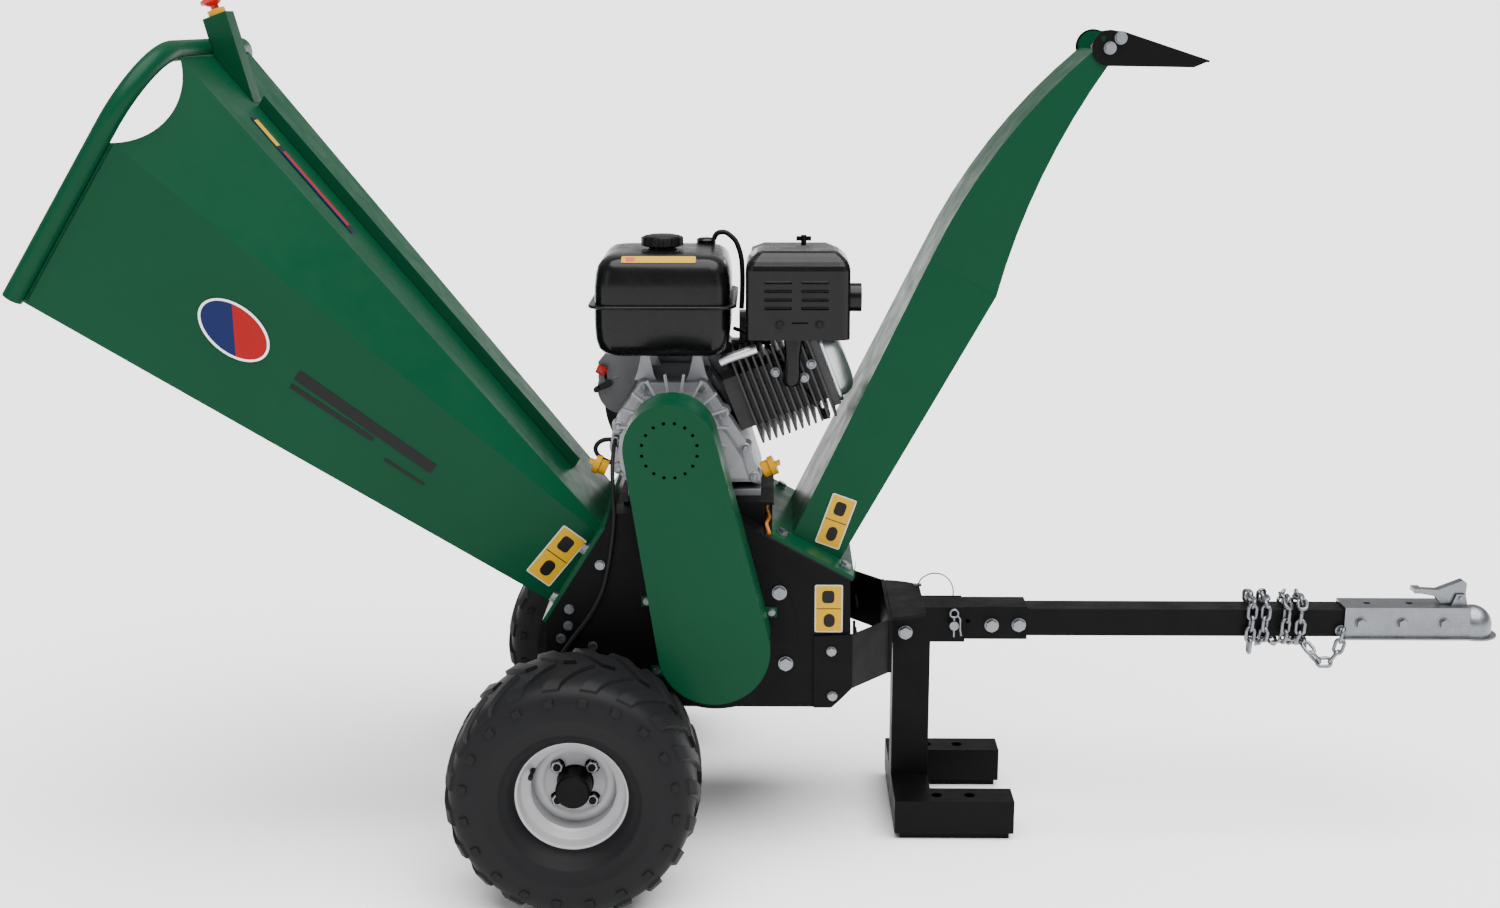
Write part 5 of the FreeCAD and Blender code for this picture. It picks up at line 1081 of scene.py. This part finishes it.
def feed_point(a, t, y):
    """A place in the hopper in millimetres: out, up the flange and across."""
    return tuple(Vector((FLANGE_X, y, FLANGE_Z)) + ALONG * a + RISE * t)


STUD_RADIUS, NUT_ANGLE = 40, math.radians(45)


def wheel_nuts(name, side, body):
    """Plated nuts with washers over the studs of the wheel."""
    rings, count = [], 24
    for depth, radius in ((4.2, 12.6), (4.2, 10.9), (12.6, 10.9), (13.6, 9.6)):
        ring = []
        for i in range(count):
            turn = 2 * math.pi * i / count
            hexagon = math.cos(math.pi / 6) / math.cos((turn % (math.pi / 3)) - math.pi / 6)
            flat = radius if radius > 12 else radius * hexagon
            ring.append(Vector((STUD_RADIUS + flat * math.cos(turn), side * depth, flat * math.sin(turn))) / 1000)
        rings.append(ring)
    mesh = loft(name, rings, 30)
    mesh.transform(Matrix.Rotation(-NUT_ANGLE, 4, "Y"))
    ring = ring_of(mesh, 4, wheel_centre(side), (0, 1, 0), ZINC)
    show(name, ring, body=body)


def rim_of(name, side):
    """Pressed wheel with rolled flanges, a stepped barrel and a dished centre disc."""
    centre = wheel_centre(side)
    outside = [(96.2, 62.5), (96.5, 61.5), (95.6, 60.9), (91.6, 60.4), (89.4, 58.6), (88.6, 54.0), (87.4, 40.0),
               (84.0, 36.0), (76.0, 33.0), (72.0, 29.0)]
    inside = [(69.0, 31.0), (74.0, 36.0), (82.0, 39.0), (84.8, 42.4), (85.9, 54.8), (87.0, 60.6), (90.8, 63.0),
              (94.8, 63.8)]
    barrel = outside + [(r, -y) for r, y in outside[::-1] + inside[::-1]] + inside
    disc = [(30.2, 0.2), (48.0, 0.2), (51.0, 1.6), (55.0, 4.8), (61.0, 5.0), (65.0, 3.4), (69.2, 0.4), (69.2, 3.8),
            (66.0, 6.4), (62.0, 8.2), (54.0, 8.2), (50.0, 5.6), (47.0, 4.0), (30.2, 4.0)]
    parts = [lathe("barrel", [(r, side * y) for r, y in barrel], centre, 120),
             lathe("disc", [(r, side * y) for r, y in disc], centre, 120)]
    stand_for(name, joined([painted(part, SILVER) for part in parts], name))


def build_switch():
    """Rocking switch lever with a rounded grip."""
    turn = math.radians(-24)
    u, v = Vector((math.cos(turn), 0, math.sin(turn))), Vector((-math.sin(turn), 0, math.cos(turn)))
    rings = [soft_rectangle(at(15.5, y, 800.5), u, v, 9.5 - inset, 8.0 - inset, 3.0, 4)
             for y, inset in ((42, 1.5), (43, 0.3), (53, 0.3), (54, 1.0))]
    stem = lathe("stem", [(0.01, 0), (7, 0), (7, 9.7), (0.01, 9.7)], at(16, 54, 800), 24, "Y", False)
    stand_for("engine_switch", joined([painted(loft("grip", rings, 40), RED), painted(stem, PLASTIC)], "switch"))


def seal_edge():
    """The orange seal that squeezes out behind the chute's flange."""
    places = [(310 + 2.5 * math.sin(y / 17), y, 568 - 1.2 * math.sin(y / 17)) for y in range(-186, 187, 12)]
    wire("seal_edge", places, 3.0, GASKET, 3)


# ---- everything is put together -----------------------------------------------------------------
for node, width in EDGE_ROUND.items():
    soften(node, width)
for name, side in (("near", -1), ("far", 1)):
    build_tyre("tyre_" + name, side)
    rim_of("rim_" + name, side)
    valve("valve_" + name, side, "wheel_" + name)
    wheel_nuts("wheel_nuts_" + name, side, "wheel_" + name)
for build in (build_chain, build_tank, build_cap, build_muffler, build_valve_cover, build_switch, engine_details,
              seal_edge, plain_labels, stripes, welds):
    build()
end_plug("bar_plug", 1331, 0, 360.5, 22, 22)
show("chain_bolt", screw_head(1327, -25.2, 347, 10.5))

set_camera()
studio()
